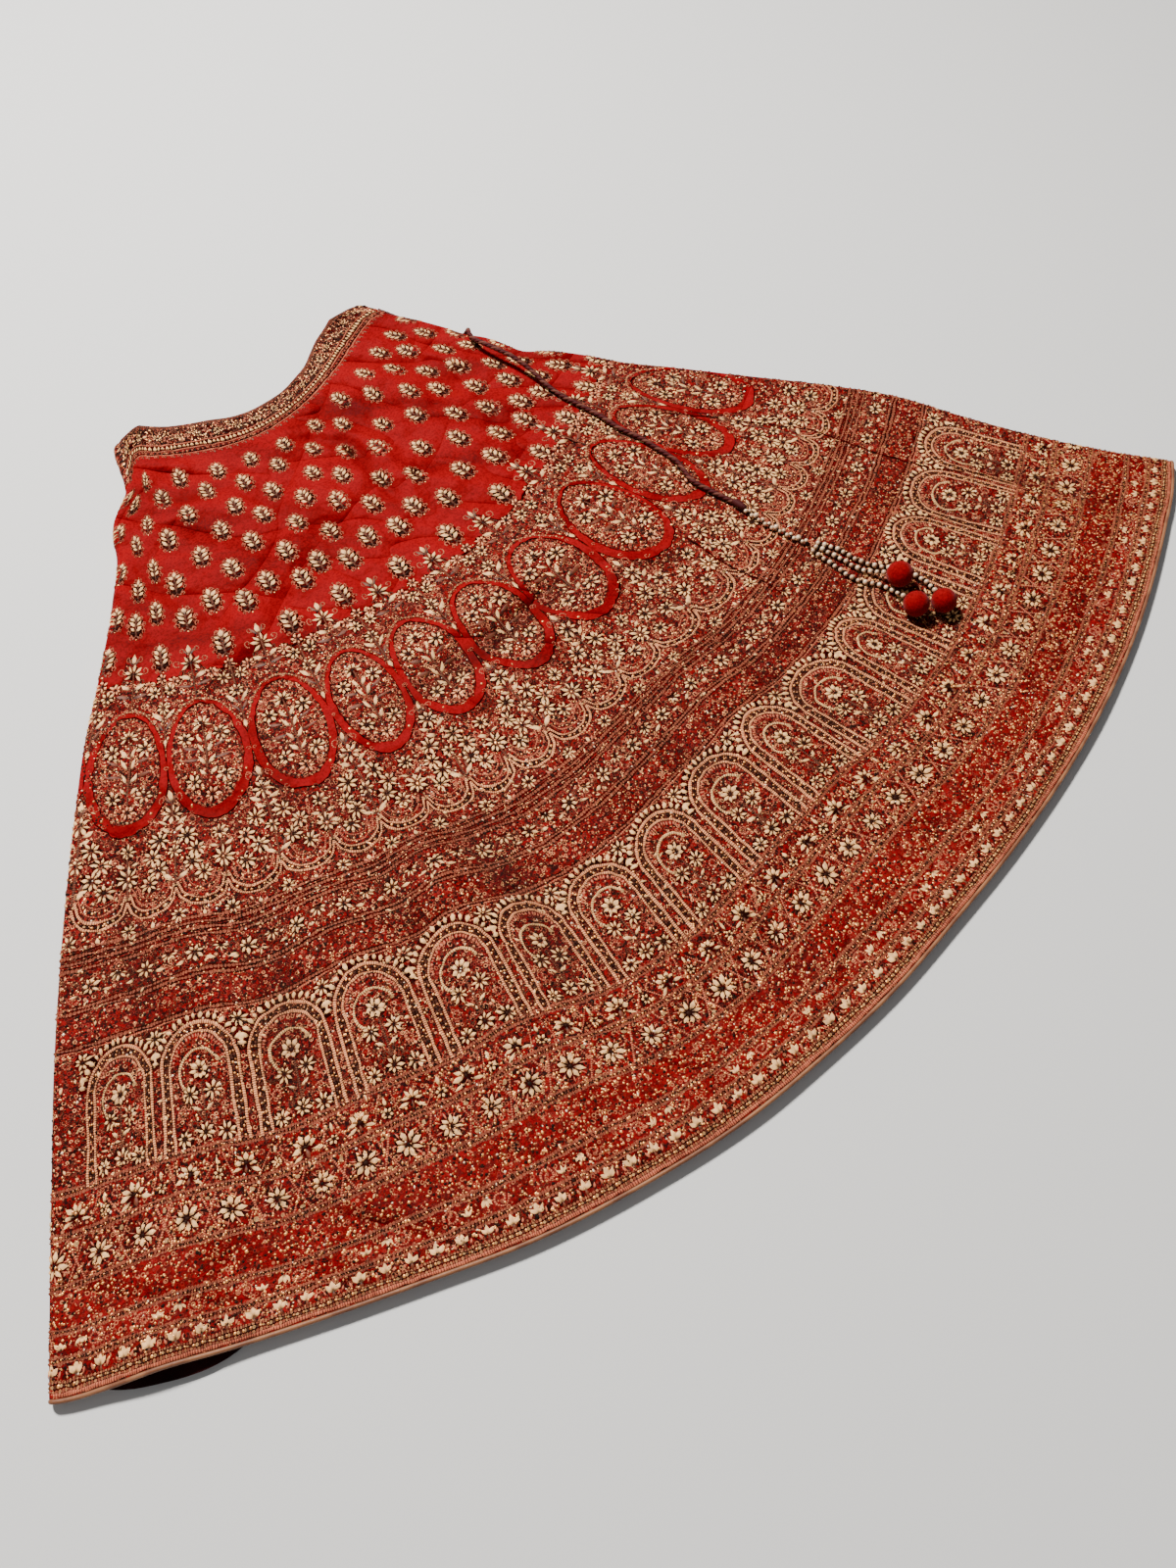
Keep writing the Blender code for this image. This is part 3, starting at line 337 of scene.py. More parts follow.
@dataclass(frozen=True)
class SkirtForm:
    """The one surface that all the cloth follows: front, side rolls and back."""

    half_fan: float = 33.0
    turn: float = 1.0
    front_fixed: float = 26.0
    back_fixed: float = 28.0
    layer_gap: float = 0.0008
    base_lift: float = 0.0030
    hem_rise: float = 0.0024
    hem_rise_start: float = 1.315
    hem_rise_end: float = 1.350
    puff_width: float = 0.030
    soft_clamp: float = 0.0010
    waist_blend: float = 0.25
    hem_blend: float = 0.17
    full_trough_shade: float = 0.0090
    slip_starts: Place = (0.90, 1.03)
    slip_ends: Place = (1.25, 1.36)
    ovals_rise: float = 0.014
    ovals_grow: float = 0.09
    ovals_change: Place = (3.0, 22.0)

    def fold_share(self, fold: Fold, x: Array, y: Array, wider: float = 1.0) -> Array:
        """Return how much of a fold's height is felt at plan points."""
        places = [plan(fold.start_angle, fold.start_radius), plan(fold.mid_angle, fold.mid_radius),
                  plan(fold.end_angle, fold.end_radius)]
        nearest = np.full(np.shape(x), np.inf)
        along = np.zeros(np.shape(x))
        for index in (0, 1):
            (ax, ay), (bx, by) = places[index], places[index + 1]
            squared = (bx - ax) ** 2 + (by - ay) ** 2
            t = np.clip(((x - ax) * (bx - ax) + (y - ay) * (by - ay)) / squared, 0.0, 1.0)
            distance = np.hypot(x - ax - t * (bx - ax), y - ay - t * (by - ay))
            closer = distance < nearest
            nearest = np.where(closer, distance, nearest)
            along = np.where(closer, (index + t) / 2, along)
        fading = 0.25 + 0.75 * np.sin(math.pi * along)
        return np.exp(-(nearest / fold.half_width / wider) ** 2) * fading

    def hollow(self, x: Array, y: Array) -> Array:
        """Return how far down in a trough plan points lie, from 0 to 1, which sets how much painted shade
        lies there.
        """
        depth = sum(-fold.height * self.fold_share(fold, x, y, 1.5) for fold in FOLDS if fold.height < 0)
        return np.clip(depth / self.full_trough_shade, 0.0, 1.0)

    def side_fold(self, side: Array, radius: Array) -> Tuple[Array, Array]:
        """Return the angle where a side fold's turn starts, and the turn's radius at the cloth's middle."""
        edge = np.where(side < 0, table_value(EDGES, "left", radius), table_value(EDGES, "right", radius))
        roll = table_value(EDGES, "roll", radius)
        return edge - np.degrees((roll + GORE_WALL / 2) / radius), roll

    def front_height(self, angle: Array, radius: Array, wall: float) -> Array:
        """Return the height of the front's middle surface."""
        turn_start, roll = self.side_fold(angle, radius)
        x, y = plan(angle, radius)
        relief = self.base_lift + sum(fold.height * self.fold_share(fold, x, y) for fold in FOLDS)
        relief = (relief + np.sqrt(relief ** 2 + self.soft_clamp ** 2)) / 2
        relief = relief + self.hem_rise * smooth_step(self.hem_rise_start, self.hem_rise_end, radius)
        inside = (turn_start - np.abs(angle)) * np.radians(1.0) * radius
        puff = np.exp(-(np.maximum(inside, 0.0) / self.puff_width) ** 2)
        lay = 1.5 * wall + self.layer_gap
        top = wall / 2 + 2 * roll
        return lay + (top - lay) * puff + relief * (1 - puff)

    def wrap(self, round_value: Array) -> Array:
        """Bring a round value between the two sides of the back's middle."""
        return (np.asarray(round_value, float) + FULL_ROUND / 2) % FULL_ROUND - FULL_ROUND / 2

    def middle(self, round_value: Array, radius: Array, wall: float) -> Array:
        """Return points of the cloth's middle surface, from the apex."""
        value = self.wrap(round_value)
        radius = np.broadcast_to(np.asarray(radius, float), value.shape)
        side = np.where(value < 0, -1.0, 1.0)
        reach = np.abs(value)
        turn_start, roll = self.side_fold(side, radius)
        phase = np.clip((reach - self.half_fan) / self.turn, 0.0, 1.0) * math.pi
        behind = reach > self.half_fan
        nominal = np.where(behind, np.minimum(self.half_fan, 2 * self.half_fan + self.turn - reach), reach)
        fixed = np.where(behind, self.back_fixed, self.front_fixed)
        stretch = (nominal - fixed) / (self.half_fan - fixed)
        angle = np.where(nominal < fixed, nominal, fixed + stretch * (turn_start - fixed))
        turning = behind & (reach < self.half_fan + self.turn)
        angle = np.where(turning, turn_start + np.degrees(roll * np.sin(phase) / radius), angle)
        height = np.where(turning, wall / 2 + roll * (1 + np.cos(phase)), wall / 2)
        height = np.where(behind, height, self.front_height(side * angle, radius, wall))
        x, y = plan(side * angle, radius)
        return np.stack([x, y, height], axis=-1)

    def outward(self, round_value: Array, radius: Array, wall: float) -> Array:
        """Return unit normals on the cloth's outer side."""
        around, down = 0.02, 0.0005
        right, left = (self.middle(round_value + step, radius, wall) for step in (around, -around))
        lower, upper = (self.middle(round_value, radius + step, wall) for step in (down, -down))
        return unit(np.cross(lower - upper, right - left))

    def gore_radius(self, round_value: Array, row: Array) -> Array:
        """Return a gore row's true radius: rows follow the waist seam above and the hem below."""
        near_waist = np.clip(1 - (row - SEAM_ROW) / self.waist_blend, 0.0, 1.0) ** 2
        near_hem = np.clip(1 - (HEM_ROW - row) / self.hem_blend, 0.0, 1.0) ** 2
        seam = table_value(WAIST, "seam", self.wrap(round_value))
        hem = table_value(HEM, "radius", self.wrap(round_value)) - PIPING_WIDTH
        return row + (seam - SEAM_ROW) * near_waist + (hem - HEM_ROW) * near_hem

    def band_radius(self, round_value: Array, row: Array) -> Array:
        """Return a waistband row's true radius; its rows run from BAND_TOP_ROW to SEAM_ROW."""
        top = table_value(WAIST, "top", self.wrap(round_value))
        seam = table_value(WAIST, "seam", self.wrap(round_value))
        return top + (seam - top) * (row - BAND_TOP_ROW) / (SEAM_ROW - BAND_TOP_ROW)

    def slip(self, round_value: Array, row: Array) -> Array:
        """Return how far the pattern has slipped towards the hem at a place on the cloth."""
        rising = smooth_step(*self.slip_starts, row)
        fading = 1 - smooth_step(*self.slip_ends, row)
        return table_value(DRIFTS, "slip", self.wrap(round_value)) * rising * fading

    def oval_row(self, round_value: Array) -> Array:
        """Return the row on which the ovals are centred; it rises towards the right side."""
        return OVALS_ROW - self.ovals_rise * smooth_step(*self.ovals_change, self.wrap(round_value))

    def oval_length(self, round_value: Array) -> Array:
        """Return how many times their drawn length the ovals are; they are longer on the right."""
        return 1 + self.ovals_grow * smooth_step(*self.ovals_change, self.wrap(round_value))


# ---------------- meshes

def build_mesh(name: str, points: Array, faces: Array, kinds: Optional[Array] = None,
               marks: Optional[Dict[str, Array]] = None, crease: float = 180.0) -> Object:
    """Make an object from arrays, smoothly shaded.

    Args:
        name: The piece's name.
        points: Its points, in metres.
        faces: One row of point numbers for each face, all of one length.
        kinds: Each face's place among the piece's finishes.
        marks: Named numbers kept on the points for the finishes.
        crease: The angle past which an edge stays sharp.

    Returns:
        The object, linked to the scene.
    """
    mesh = bpy.data.meshes.new(name)
    corners = faces.shape[1]
    mesh.vertices.add(len(points))
    mesh.vertices.foreach_set("co", np.ascontiguousarray(points, dtype=np.float32).ravel())
    mesh.loops.add(faces.size)
    mesh.loops.foreach_set("vertex_index", np.ascontiguousarray(faces, dtype=np.int32).ravel())
    mesh.polygons.add(len(faces))
    mesh.polygons.foreach_set("loop_start", np.arange(0, faces.size, corners, dtype=np.int32))
    if kinds is not None:
        mesh.polygons.foreach_set("material_index", np.ascontiguousarray(kinds, dtype=np.int32))
    for mark, values in (marks or {}).items():
        layer = mesh.attributes.new(mark, "FLOAT", "POINT")
        layer.data.foreach_set("value", np.ascontiguousarray(values, dtype=np.float32))
    mesh.update(calc_edges=True)
    mesh.shade_smooth()
    if crease < 180.0:
        mesh.set_sharp_from_angle(angle=math.radians(crease))
    thing = bpy.data.objects.new(name, mesh)
    bpy.context.collection.objects.link(thing)
    return thing


def keep(piece: Object, finishes: Iterable[Material],
         nodes: Sequence[str] = ()) -> Object:
    """Dress a piece, make it ride with the skirt, and log it.

    Args:
        piece: The new piece.
        finishes: Its materials, in the order of its face kinds.
        nodes: The solids that it stands for.

    Returns:
        The piece.
    """
    for finish in finishes:
        piece.data.materials.append(finish)
    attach(piece, BODY)
    if nodes:
        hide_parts(*nodes)
    log.info("%s: %d faces", piece.name, len(piece.data.polygons))
    return piece


# ---------------- finishes

Operand = Union["Value", float]


class Value:
    """A shader socket that Python's operators work on; each one adds a Math node."""

    def __init__(self, shader: "Shader", socket: NodeSocket) -> None:
        """Wrap a socket of a shader's tree."""
        self.shader = shader
        self.socket = socket

    def _math(self, operation: str, *operands: Operand) -> "Value":
        """Add a Math node and return its result."""
        node = self.shader.node("ShaderNodeMath", {"operation": operation}, dict(enumerate(operands)))
        return Value(self.shader, node.outputs[0])

    def __add__(self, other: Operand) -> "Value":
        """Return self + other."""
        return self._math("ADD", self, other)

    __radd__ = __add__

    def __sub__(self, other: Operand) -> "Value":
        """Return self - other."""
        return self._math("SUBTRACT", self, other)

    def __rsub__(self, other: float) -> "Value":
        """Return other - self."""
        return self._math("SUBTRACT", other, self)

    def __mul__(self, other: Operand) -> "Value":
        """Return self * other."""
        return self._math("MULTIPLY", self, other)

    __rmul__ = __mul__

    def __truediv__(self, other: Operand) -> "Value":
        """Return self / other."""
        return self._math("DIVIDE", self, other)

    def __rtruediv__(self, other: float) -> "Value":
        """Return other / self."""
        return self._math("DIVIDE", other, self)

    def __pow__(self, power: float) -> "Value":
        """Return self ** power."""
        return self._math("POWER", self, power)

    def __abs__(self) -> "Value":
        """Return the value without its sign."""
        return self._math("ABSOLUTE", self)

    def sine(self) -> "Value":
        """Return the sine."""
        return self._math("SINE", self)

    def fraction(self) -> "Value":
        """Return what is left over the whole number below."""
        return self._math("FRACT", self)

    def least(self, other: Operand) -> "Value":
        """Return the smaller of two values."""
        return self._math("MINIMUM", self, other)

    def most(self, other: Operand) -> "Value":
        """Return the larger of two values."""
        return self._math("MAXIMUM", self, other)

    def step(self, low: float, high: float) -> "Value":
        """Return a smooth rise from 0 at low to 1 at high; low may be the larger."""
        node = self.shader.node("ShaderNodeMapRange", {"interpolation_type": "SMOOTHSTEP"},
                                {"Value": self, "From Min": min(low, high), "From Max": max(low, high)})
        rise = Value(self.shader, node.outputs[0])
        return rise if low < high else 1 - rise


class Shader:
    """A material under construction, around its Principled shader."""

    def __init__(self, name: str, roughness: float, metallic: float = 0.0, sheen: float = 0.0,
                 specular: float = 0.5) -> None:
        """Start a material.

        Args:
            name: The finish's name.
            roughness: The Principled shader's roughness.
            metallic: Its metallic value.
            sheen: Its sheen weight.
            specular: Its specular level.
        """
        self.material = bpy.data.materials.new(name)
        self.material.use_nodes = True
        self.tree = self.material.node_tree
        self.surface = self.tree.nodes["Principled BSDF"]
        self.surface.inputs["Roughness"].default_value = roughness
        self.surface.inputs["Metallic"].default_value = metallic
        self.surface.inputs["Sheen Weight"].default_value = sheen
        self.surface.inputs["Sheen Roughness"].default_value = 0.4
        self.surface.inputs["Specular IOR Level"].default_value = specular

    def node(self, kind: str, settings: Optional[Dict[str, object]] = None,
             sockets: Optional[Dict[Union[str, int], object]] = None) -> Node:
        """Add any node.

        Args:
            kind: The node's type.
            settings: Its own settings, set first; "stops" are a ramp's (place, colour) pairs.
            sockets: Values or links of its inputs, by name or number.

        Returns:
            The node.
        """
        made = self.tree.nodes.new(kind)
        for key, value in (settings or {}).items():
            if key == "stops":
                self._set_stops(made, value)
            else:
                setattr(made, key, value)
        for key, value in (sockets or {}).items():
            if isinstance(value, Value):
                self.tree.links.new(value.socket, made.inputs[key])
            elif isinstance(value, NodeSocket):
                self.tree.links.new(value, made.inputs[key])
            else:
                made.inputs[key].default_value = value
        return made

    @staticmethod
    def _set_stops(ramp: Node, stops: Sequence[Tuple[float, Colour]]) -> None:
        """Give a colour ramp its stops."""
        elements = ramp.color_ramp.elements
        while len(elements) > 1:
            elements.remove(elements[-1])
        for index, (place, colour) in enumerate(stops):
            element = elements[0] if index == 0 else elements.new(place)
            element.position = place
            element.color = (*colour, 1.0)

    def mark(self, name: str) -> Value:
        """Return a named number kept on the piece's points."""
        return Value(self, self.node("ShaderNodeAttribute", {"attribute_name": name}).outputs["Fac"])

    def place(self) -> NodeSocket:
        """Return the place on the piece, in metres."""
        return self.node("ShaderNodeTexCoord").outputs["Object"]

    def noise(self, size: float, detail: float = 2.0, roughness: float = 0.5,
              heading: Optional[float] = None) -> Value:
        """Return soft noise.

        Args:
            size: About how many metres its lumps are across.
            detail: How many finer layers it has.
            roughness: How strong those are.
            heading: Where given, the lumps are drawn out along this direction, in degrees from +X.

        Returns:
            The noise, about 0.5 in the middle.
        """
        place = self.place()
        if heading is not None:
            place = self.node("ShaderNodeMapping", {"vector_type": "TEXTURE"},
                              {"Vector": place, "Rotation": (0.0, 0.0, math.radians(heading)),
                               "Scale": (4.0, 1.0, 1.0)}).outputs[0]
        node = self.node("ShaderNodeTexNoise", None, {"Vector": place, "Scale": 1 / size,
                                                      "Detail": detail, "Roughness": roughness})
        return Value(self, node.outputs[0])

    def cells(self, size: float) -> Tuple[Value, NodeSocket]:
        """Return the distance to the nearest of points scattered size metres apart, and its colour."""
        node = self.node("ShaderNodeTexVoronoi", None, {"Vector": self.place(), "Scale": 1 / size})
        return Value(self, node.outputs["Distance"]), node.outputs["Color"]

    def red_of(self, colour: NodeSocket) -> Value:
        """Return a colour's red part as a number."""
        return Value(self, self.node("ShaderNodeSeparateColor", None, {0: colour}).outputs[0])

    def ramp(self, value: Value, stops: Sequence[Tuple[float, Colour]]) -> NodeSocket:
        """Return the colour that a ramp gives a value."""
        return self.node("ShaderNodeValToRGB", {"stops": stops}, {0: value}).outputs[0]

    def mix(self, share: Operand, first: object, second: object) -> NodeSocket:
        """Return a colour between two colours or colour sockets."""
        ends = [(*end, 1.0) if isinstance(end, tuple) else end for end in (first, second)]
        node = self.node("ShaderNodeMix", {"data_type": "RGBA"}, {0: share, 6: ends[0], 7: ends[1]})
        return node.outputs[2]

    def finish(self, colour: object, relief: Optional[Value] = None, depth: float = 0.0002) -> Material:
        """Connect what varies and return the material.

        Args:
            colour: A colour, or a socket that gives one.
            relief: The surface's height, from 0 to 1.
            depth: How deep that relief is, in metres.

        Returns:
            The material.
        """
        base = self.surface.inputs["Base Color"]
        if isinstance(colour, tuple):
            base.default_value = (*colour, 1.0)
        else:
            self.tree.links.new(colour, base)
        if relief is not None:
            bump = self.node("ShaderNodeBump", None, {"Strength": 1.0, "Distance": depth, "Height": relief})
            self.tree.links.new(bump.outputs[0], self.surface.inputs["Normal"])
        return self.material


@dataclass(frozen=True)
class EmbroideredSilk:
    """Red silk whose ground, past the plain field, is filled with fine metal thread, beads and loops; painted
    shade darkens its folds, its troughs and the gaps between its stitches.
    """

    silk: Colour = (0.24, 0.0009, 0.0034)
    shade: Colour = (0.085, 0.0006, 0.0016)
    # painted shade between the stitches, first deep red then near black; the near black also colours the
    # darkest knots and the filled ground's troughs
    gap_shade_colour: Colour = (0.060, 0.0010, 0.0014)
    dark: Colour = (0.0075, 0.0012, 0.0010)
    # painted shade in troughs: bare silk turns this colour there
    trough_shade_silk: Colour = (0.042, 0.0006, 0.0010)
    antique: Colour = (0.115, 0.018, 0.0085)
    olive: Colour = (0.035, 0.0085, 0.0040)
    rose: Colour = (0.25, 0.034, 0.024)
    cream: Colour = (0.86, 0.35, 0.16)
    weave_pitch: float = 0.0009
    loop_size: float = 0.0038
    knot_size: float = 0.0020
    band_foot: Place = (0.3765, 0.3755)
    open_rows: Tuple[Place, Place] = ((1.273, 1.280), (1.344, 1.338))
    dark_rows: Tuple[Place, Place] = ((1.043, 1.047), (1.076, 1.072))
    hem_rows: Place = (1.196, 1.206)

    def filled(self, shader: Shader) -> Value:
        """Return 1 where the ground is filled with stitches, and 0 on bare silk."""
        row, oval, down = shader.mark("row"), shader.mark("oval"), shader.mark("down")
        uneven = (shader.noise(0.014, 2.0, 0.6) - 0.5) * 0.16
        across = (oval + 0.5).fraction() - 0.5
        crown = -0.102 - 0.038 * (1 - abs(across) * 5.5).most(0.0)
        below_field = (down - crown + uneven * 0.05).step(-0.001, 0.003)
        side = across * (OVAL_PITCH * math.pi / 180 * OVALS_ROW)
        inner = ((side / 0.0345) ** 2 + (down / 0.0635) ** 2) ** 0.5 + uneven
        outer = ((side / 0.0430) ** 2 + ((down - 0.0035) / 0.0725) ** 2) ** 0.5 - uneven * 0.6
        ring = (1 - outer.step(0.985, 1.01)) * inner.step(0.985, 1.02)
        band = row.step(*self.band_foot)
        return (below_field * (1 - ring)).most(band)

    def make(self) -> Material:
        """Return the material."""
        shader = Shader("embroidered_silk", roughness=0.65, specular=0.04)
        row = shader.mark("row")
        filled = self.filled(shader)
        # broad patches of painted shade drawn out along the folds, with the weave and a fine grain, darken
        # the bare silk towards its shade colour
        painted_fold_shade = shader.noise(0.055, 3.0, 0.55, heading=-35.0)
        weave = (shader.mark("warp") * (2 * math.pi / self.weave_pitch)).sine()
        weft = (row * (2 * math.pi / self.weave_pitch)).sine()
        cloth = weave * weft * 0.5 + 0.5
        grain = shader.noise(0.0024, 1.0)
        shade_and_grain = painted_fold_shade.step(0.45, 0.72) * 0.60 + cloth * 0.10 + grain.step(0.42, 0.66) * 0.42
        bare = shader.mix(shade_and_grain.least(1.0), self.silk, self.shade)
        open_rows = row.step(*self.open_rows[0]) * row.step(*self.open_rows[1])
        dark_rows = row.step(*self.dark_rows[0]) * row.step(*self.dark_rows[1])
        hem_rows = row.step(*self.hem_rows)
        busy = filled * (1 - open_rows.most(hem_rows) * 0.50 - dark_rows * 0.15)
        # painted shade in the gaps between the stitches of the filled ground
        gaps = shader.noise(0.0034, 3.0, 0.6)
        gap_shade = filled * (1 - open_rows * 0.55 - dark_rows * 0.15)
        ground = shader.mix(gaps.step(0.62, 0.46) * gap_shade, bare, self.gap_shade_colour)
        ground = shader.mix(gaps.step(0.54, 0.40) * gap_shade * 0.95, ground, self.dark)
        distance, tint = shader.cells(self.loop_size)
        loop = distance.step(0.56, 0.46) * distance.step(0.28, 0.36)
        heart = distance.step(0.20, 0.10)
        thread = shader.ramp(shader.red_of(tint), (
            (0.0, self.olive), (0.22, self.rose), (0.38, self.silk), (0.62, self.antique),
            (0.74, self.rose), (0.91, self.cream)))
        knots, knot_tint = shader.cells(self.knot_size)
        knot = knots.step(0.42, 0.30)
        knot_colour = shader.ramp(shader.red_of(knot_tint), (
            (0.0, self.dark), (0.38, self.olive), (0.48, self.silk), (0.68, self.antique),
            (0.80, self.rose), (0.93, self.cream)))
        ground = shader.mix(knot * busy * 0.9, ground, knot_colour)
        ground = shader.mix(loop * busy * 0.85, ground, thread)
        ground = shader.mix(heart * busy, ground, knot_colour)
        creases = ((abs(shader.noise(0.095, 2.0, 0.5, heading=-50.0) - 0.5) * 2) ** 0.70
                   + (abs(shader.noise(0.130, 2.0, 0.5, heading=30.0) - 0.5) * 2) ** 0.80
                   + shader.noise(0.022, 2.0) * 0.22)
        height = cloth * 0.10 + (loop * 0.7 + heart + knot * 0.5) * busy + creases * (38.0 - busy * 22.0)
        # painted shade in the troughs, uneven in strength: bare silk goes darker red, filled ground near
        # black
        hollow = shader.mark("hollow") * (shader.noise(0.018, 2.0).step(0.25, 0.60) * 0.24 + 0.36)
        ground = shader.mix(hollow, ground, shader.mix(busy, self.trough_shade_silk, self.dark))
        return shader.finish(ground, height, 0.0006)


@dataclass(frozen=True)
class StitchFinish:
    """Raised embroidery thread, in stitches that show along each line."""

    name: str
    colour: Colour
    shadow: Colour
    roughness: float = 0.5
    stitch_pitch: float = 0.0021

    def make(self) -> Material:
        """Return the material."""
        shader = Shader(self.name, self.roughness, specular=0.15)
        along = shader.mark("along")
        stitches = (along * (2 * math.pi / self.stitch_pitch)).sine() * 0.5 + 0.5
        on_line = along.step(-0.00001, 0.0)
        root = (along * -1).step(0.45, 0.05) * (1 - on_line)
        patches = shader.noise(0.005, 2.0).step(0.35, 0.70)
        broad_shade = shader.noise(0.060, 1.0).step(0.45, 0.65)
        # towards the shadow colour: random dark patches, painted shade in the dips between stitches and at
        # the petals' roots, broad patches of painted shade, and painted shade in the troughs
        dark = patches * 0.4 + stitches.step(0.45, 0.0) * on_line * 0.8 + root * 0.9 + broad_shade * 0.15
        dark = dark.least(1.0).most(shader.mark("hollow") * 0.52)
        colour = shader.mix(dark, self.colour, self.shadow)
        return shader.finish(colour, stitches * on_line, 0.0004)


@dataclass(frozen=True)
class SpangleFinish:
    """Small bright things: gold spangles, cut beads and pearls."""

    name: str
    colour: Colour
    other: Colour
    roughness: float
    metallic: float
    specular: float = 0.5
    trough_shade_colour: Colour = (0.030, 0.010, 0.006)

    def make(self) -> Material:
        """Return the material."""
        shader = Shader(self.name, self.roughness, self.metallic, specular=self.specular)
        colour = shader.mix(shader.noise(0.010, 1.0).step(0.4, 0.6), self.colour, self.other)
        # painted shade darkens them in the troughs
        return shader.finish(shader.mix(shader.mark("hollow") * 0.52, colour, self.trough_shade_colour))


@dataclass(frozen=True)
class PipingFinish:
    """Antique gold cloth, rolled into piping."""

    colour: Colour = (0.26, 0.105, 0.046)
    worn: Colour = (0.12, 0.038, 0.018)

    def make(self) -> Material:
        """Return the material."""
        shader = Shader("rolled_piping", 0.5, specular=0.3)
        wear = shader.noise(0.020, 3.0).step(0.35, 0.65)
        ribs = shader.noise(0.0010, 1.0)
        return shader.finish(shader.mix(wear * 0.8, self.colour, self.worn), ribs, 0.0002)


@dataclass(frozen=True)
class LiningFinish:
    """Near-black maroon lining cloth: partly the lining's own dark maroon and partly painted shade for the
    gap under the lifted front hem.
    """

    colour: Colour = (0.030, 0.003, 0.004)
    shade: Colour = (0.010, 0.0015, 0.002)

    def make(self) -> Material:
        """Return the material."""
        shader = Shader("maroon_lining", 0.8, specular=0.1)
        threads = shader.noise(0.0008, 1.0)
        colour = shader.mix(shader.noise(0.02).step(0.3, 0.7), self.colour, self.shade)
        return shader.finish(colour, threads, 0.0001)


@dataclass(frozen=True)
class CordFinish:
    """Cord twisted from two red strands and a pale one."""

    # very dark red: partly the cord's own dark thread and partly painted shade
    colour: Colour = (0.060, 0.0012, 0.0020)
    pale: Colour = (0.120, 0.030, 0.019)
    groove: Colour = (0.008, 0.0010, 0.0010)

    def make(self) -> Material:
        """Return the material."""
        shader = Shader("twisted_cord", 0.7, specular=0.2)
        fibres = shader.noise(0.0006, 2.0)
        depth = shader.mark("groove")
        strand = shader.mix(depth.step(1.4, 1.6), self.colour, self.pale)
        # painted shade in the grooves between the strands, with fine dark fibres
        colour = shader.mix((depth - depth.step(1.4, 1.6) * 2).step(0.45, 0.95), strand, self.groove)
        return shader.finish(shader.mix(fibres.step(0.4, 0.8) * 0.35, colour, self.groove), fibres, 0.0002)


@dataclass(frozen=True)
class FeltFinish:
    """Matted red wool."""

    colour: Colour = (0.24, 0.0009, 0.003)
    shade: Colour = (0.085, 0.0007, 0.0016)

    def make(self) -> Material:
        """Return the material."""
        shader = Shader("wool_felt", 0.95, sheen=0.08, specular=0.05)
        lumps = shader.noise(0.0030, 4.0, 0.7)
        fuzz = shader.noise(0.0006, 2.0)
        colour = shader.mix(lumps.step(0.35, 0.70) * 0.7, self.colour, self.shade)
        return shader.finish(colour, lumps * 0.6 + fuzz * 0.4, 0.0008)


@dataclass(frozen=True)
class FloorFinish:
    """A plain pale floor."""

    colour: Colour = (0.68, 0.68, 0.68)

    def make(self) -> Material:
        """Return the material."""
        return Shader("pale_floor", 0.9, specular=0.1).finish(self.colour)


class Thread(Enum):
    """What a stitch is made with; the value is its place among an embroidered piece's finishes."""

    CREAM = 0
    ANTIQUE = 1
    ROSE = 2
    GOLD = 3
    DARK = 4
    PEARL = 5
    # not a thread: a flat dark sheet of painted shadow under motifs and lines
    SHADE = 6
    PEACH = 7


CREAM, ANTIQUE, ROSE, GOLD, DARK, PEARL, SHADE, PEACH = Thread


def thread_finishes() -> List[Material]:
    """Return the embroidery's finishes, in the order of Thread."""
    return [
        StitchFinish("cream_thread", (0.99, 0.54, 0.22), (0.100, 0.042, 0.016)).make(),
        StitchFinish("antique_thread", (0.150, 0.036, 0.015), (0.024, 0.0065, 0.0030)).make(),
        StitchFinish("rose_thread", (0.57, 0.148, 0.074), (0.075, 0.0085, 0.0050)).make(),
        SpangleFinish("gold_spangle", (0.85, 0.36, 0.10), (0.36, 0.12, 0.032), 0.30, 0.35).make(),
        SpangleFinish("dark_bead", (0.007, 0.0028, 0.0018), (0.020, 0.0055, 0.0030), 0.55, 0.0, 0.04).make(),
        SpangleFinish("pearl_bead", (0.88, 0.63, 0.41), (0.60, 0.38, 0.23), 0.30, 0.15).make(),
        SpangleFinish("shaded_ground", (0.046, 0.0012, 0.0012), (0.01, 0.0012, 0.001), 0.9, 0.0, 0.0).make(),
        StitchFinish("peach_thread", (0.90, 0.355, 0.155), (0.095, 0.023, 0.012)).make(),
    ]


# ---------------- cloth pieces

def strip(first: Array, second: Array) -> Array:
    """Return quads between two rows of point numbers."""
    return np.stack([first[:-1], first[1:], second[1:], second[:-1]], axis=-1)


def grid_quads(index: Array) -> Array:
    """Return quads between the neighbours in a grid of point numbers."""
    return np.stack([index[:-1, :-1], index[:-1, 1:], index[1:, 1:], index[1:, :-1]], axis=-1).reshape(-1, 4)


def closed_wall(outer: Array, inner: Array) -> Tuple[Array, Array]:
    """Return the points and quads of a wall between two grids of points.

    Args:
        outer: The outer face's points, by column then row.
        inner: The inner face's points, in the same order.

    Returns:
        The points and the faces.
    """
    columns, rows = outer.shape[:2]
    out = np.arange(columns * rows).reshape(columns, rows)
    into = out + columns * rows
    faces = [grid_quads(out), grid_quads(into)[:, [0, 3, 2, 1]], strip(out[:, 0], into[:, 0]),
             strip(into[:, -1], out[:, -1]), strip(into[0], out[0]), strip(out[-1], into[-1])]
    points = np.concatenate([outer.reshape(-1, 3), inner.reshape(-1, 3)])
    return points, np.concatenate(faces)


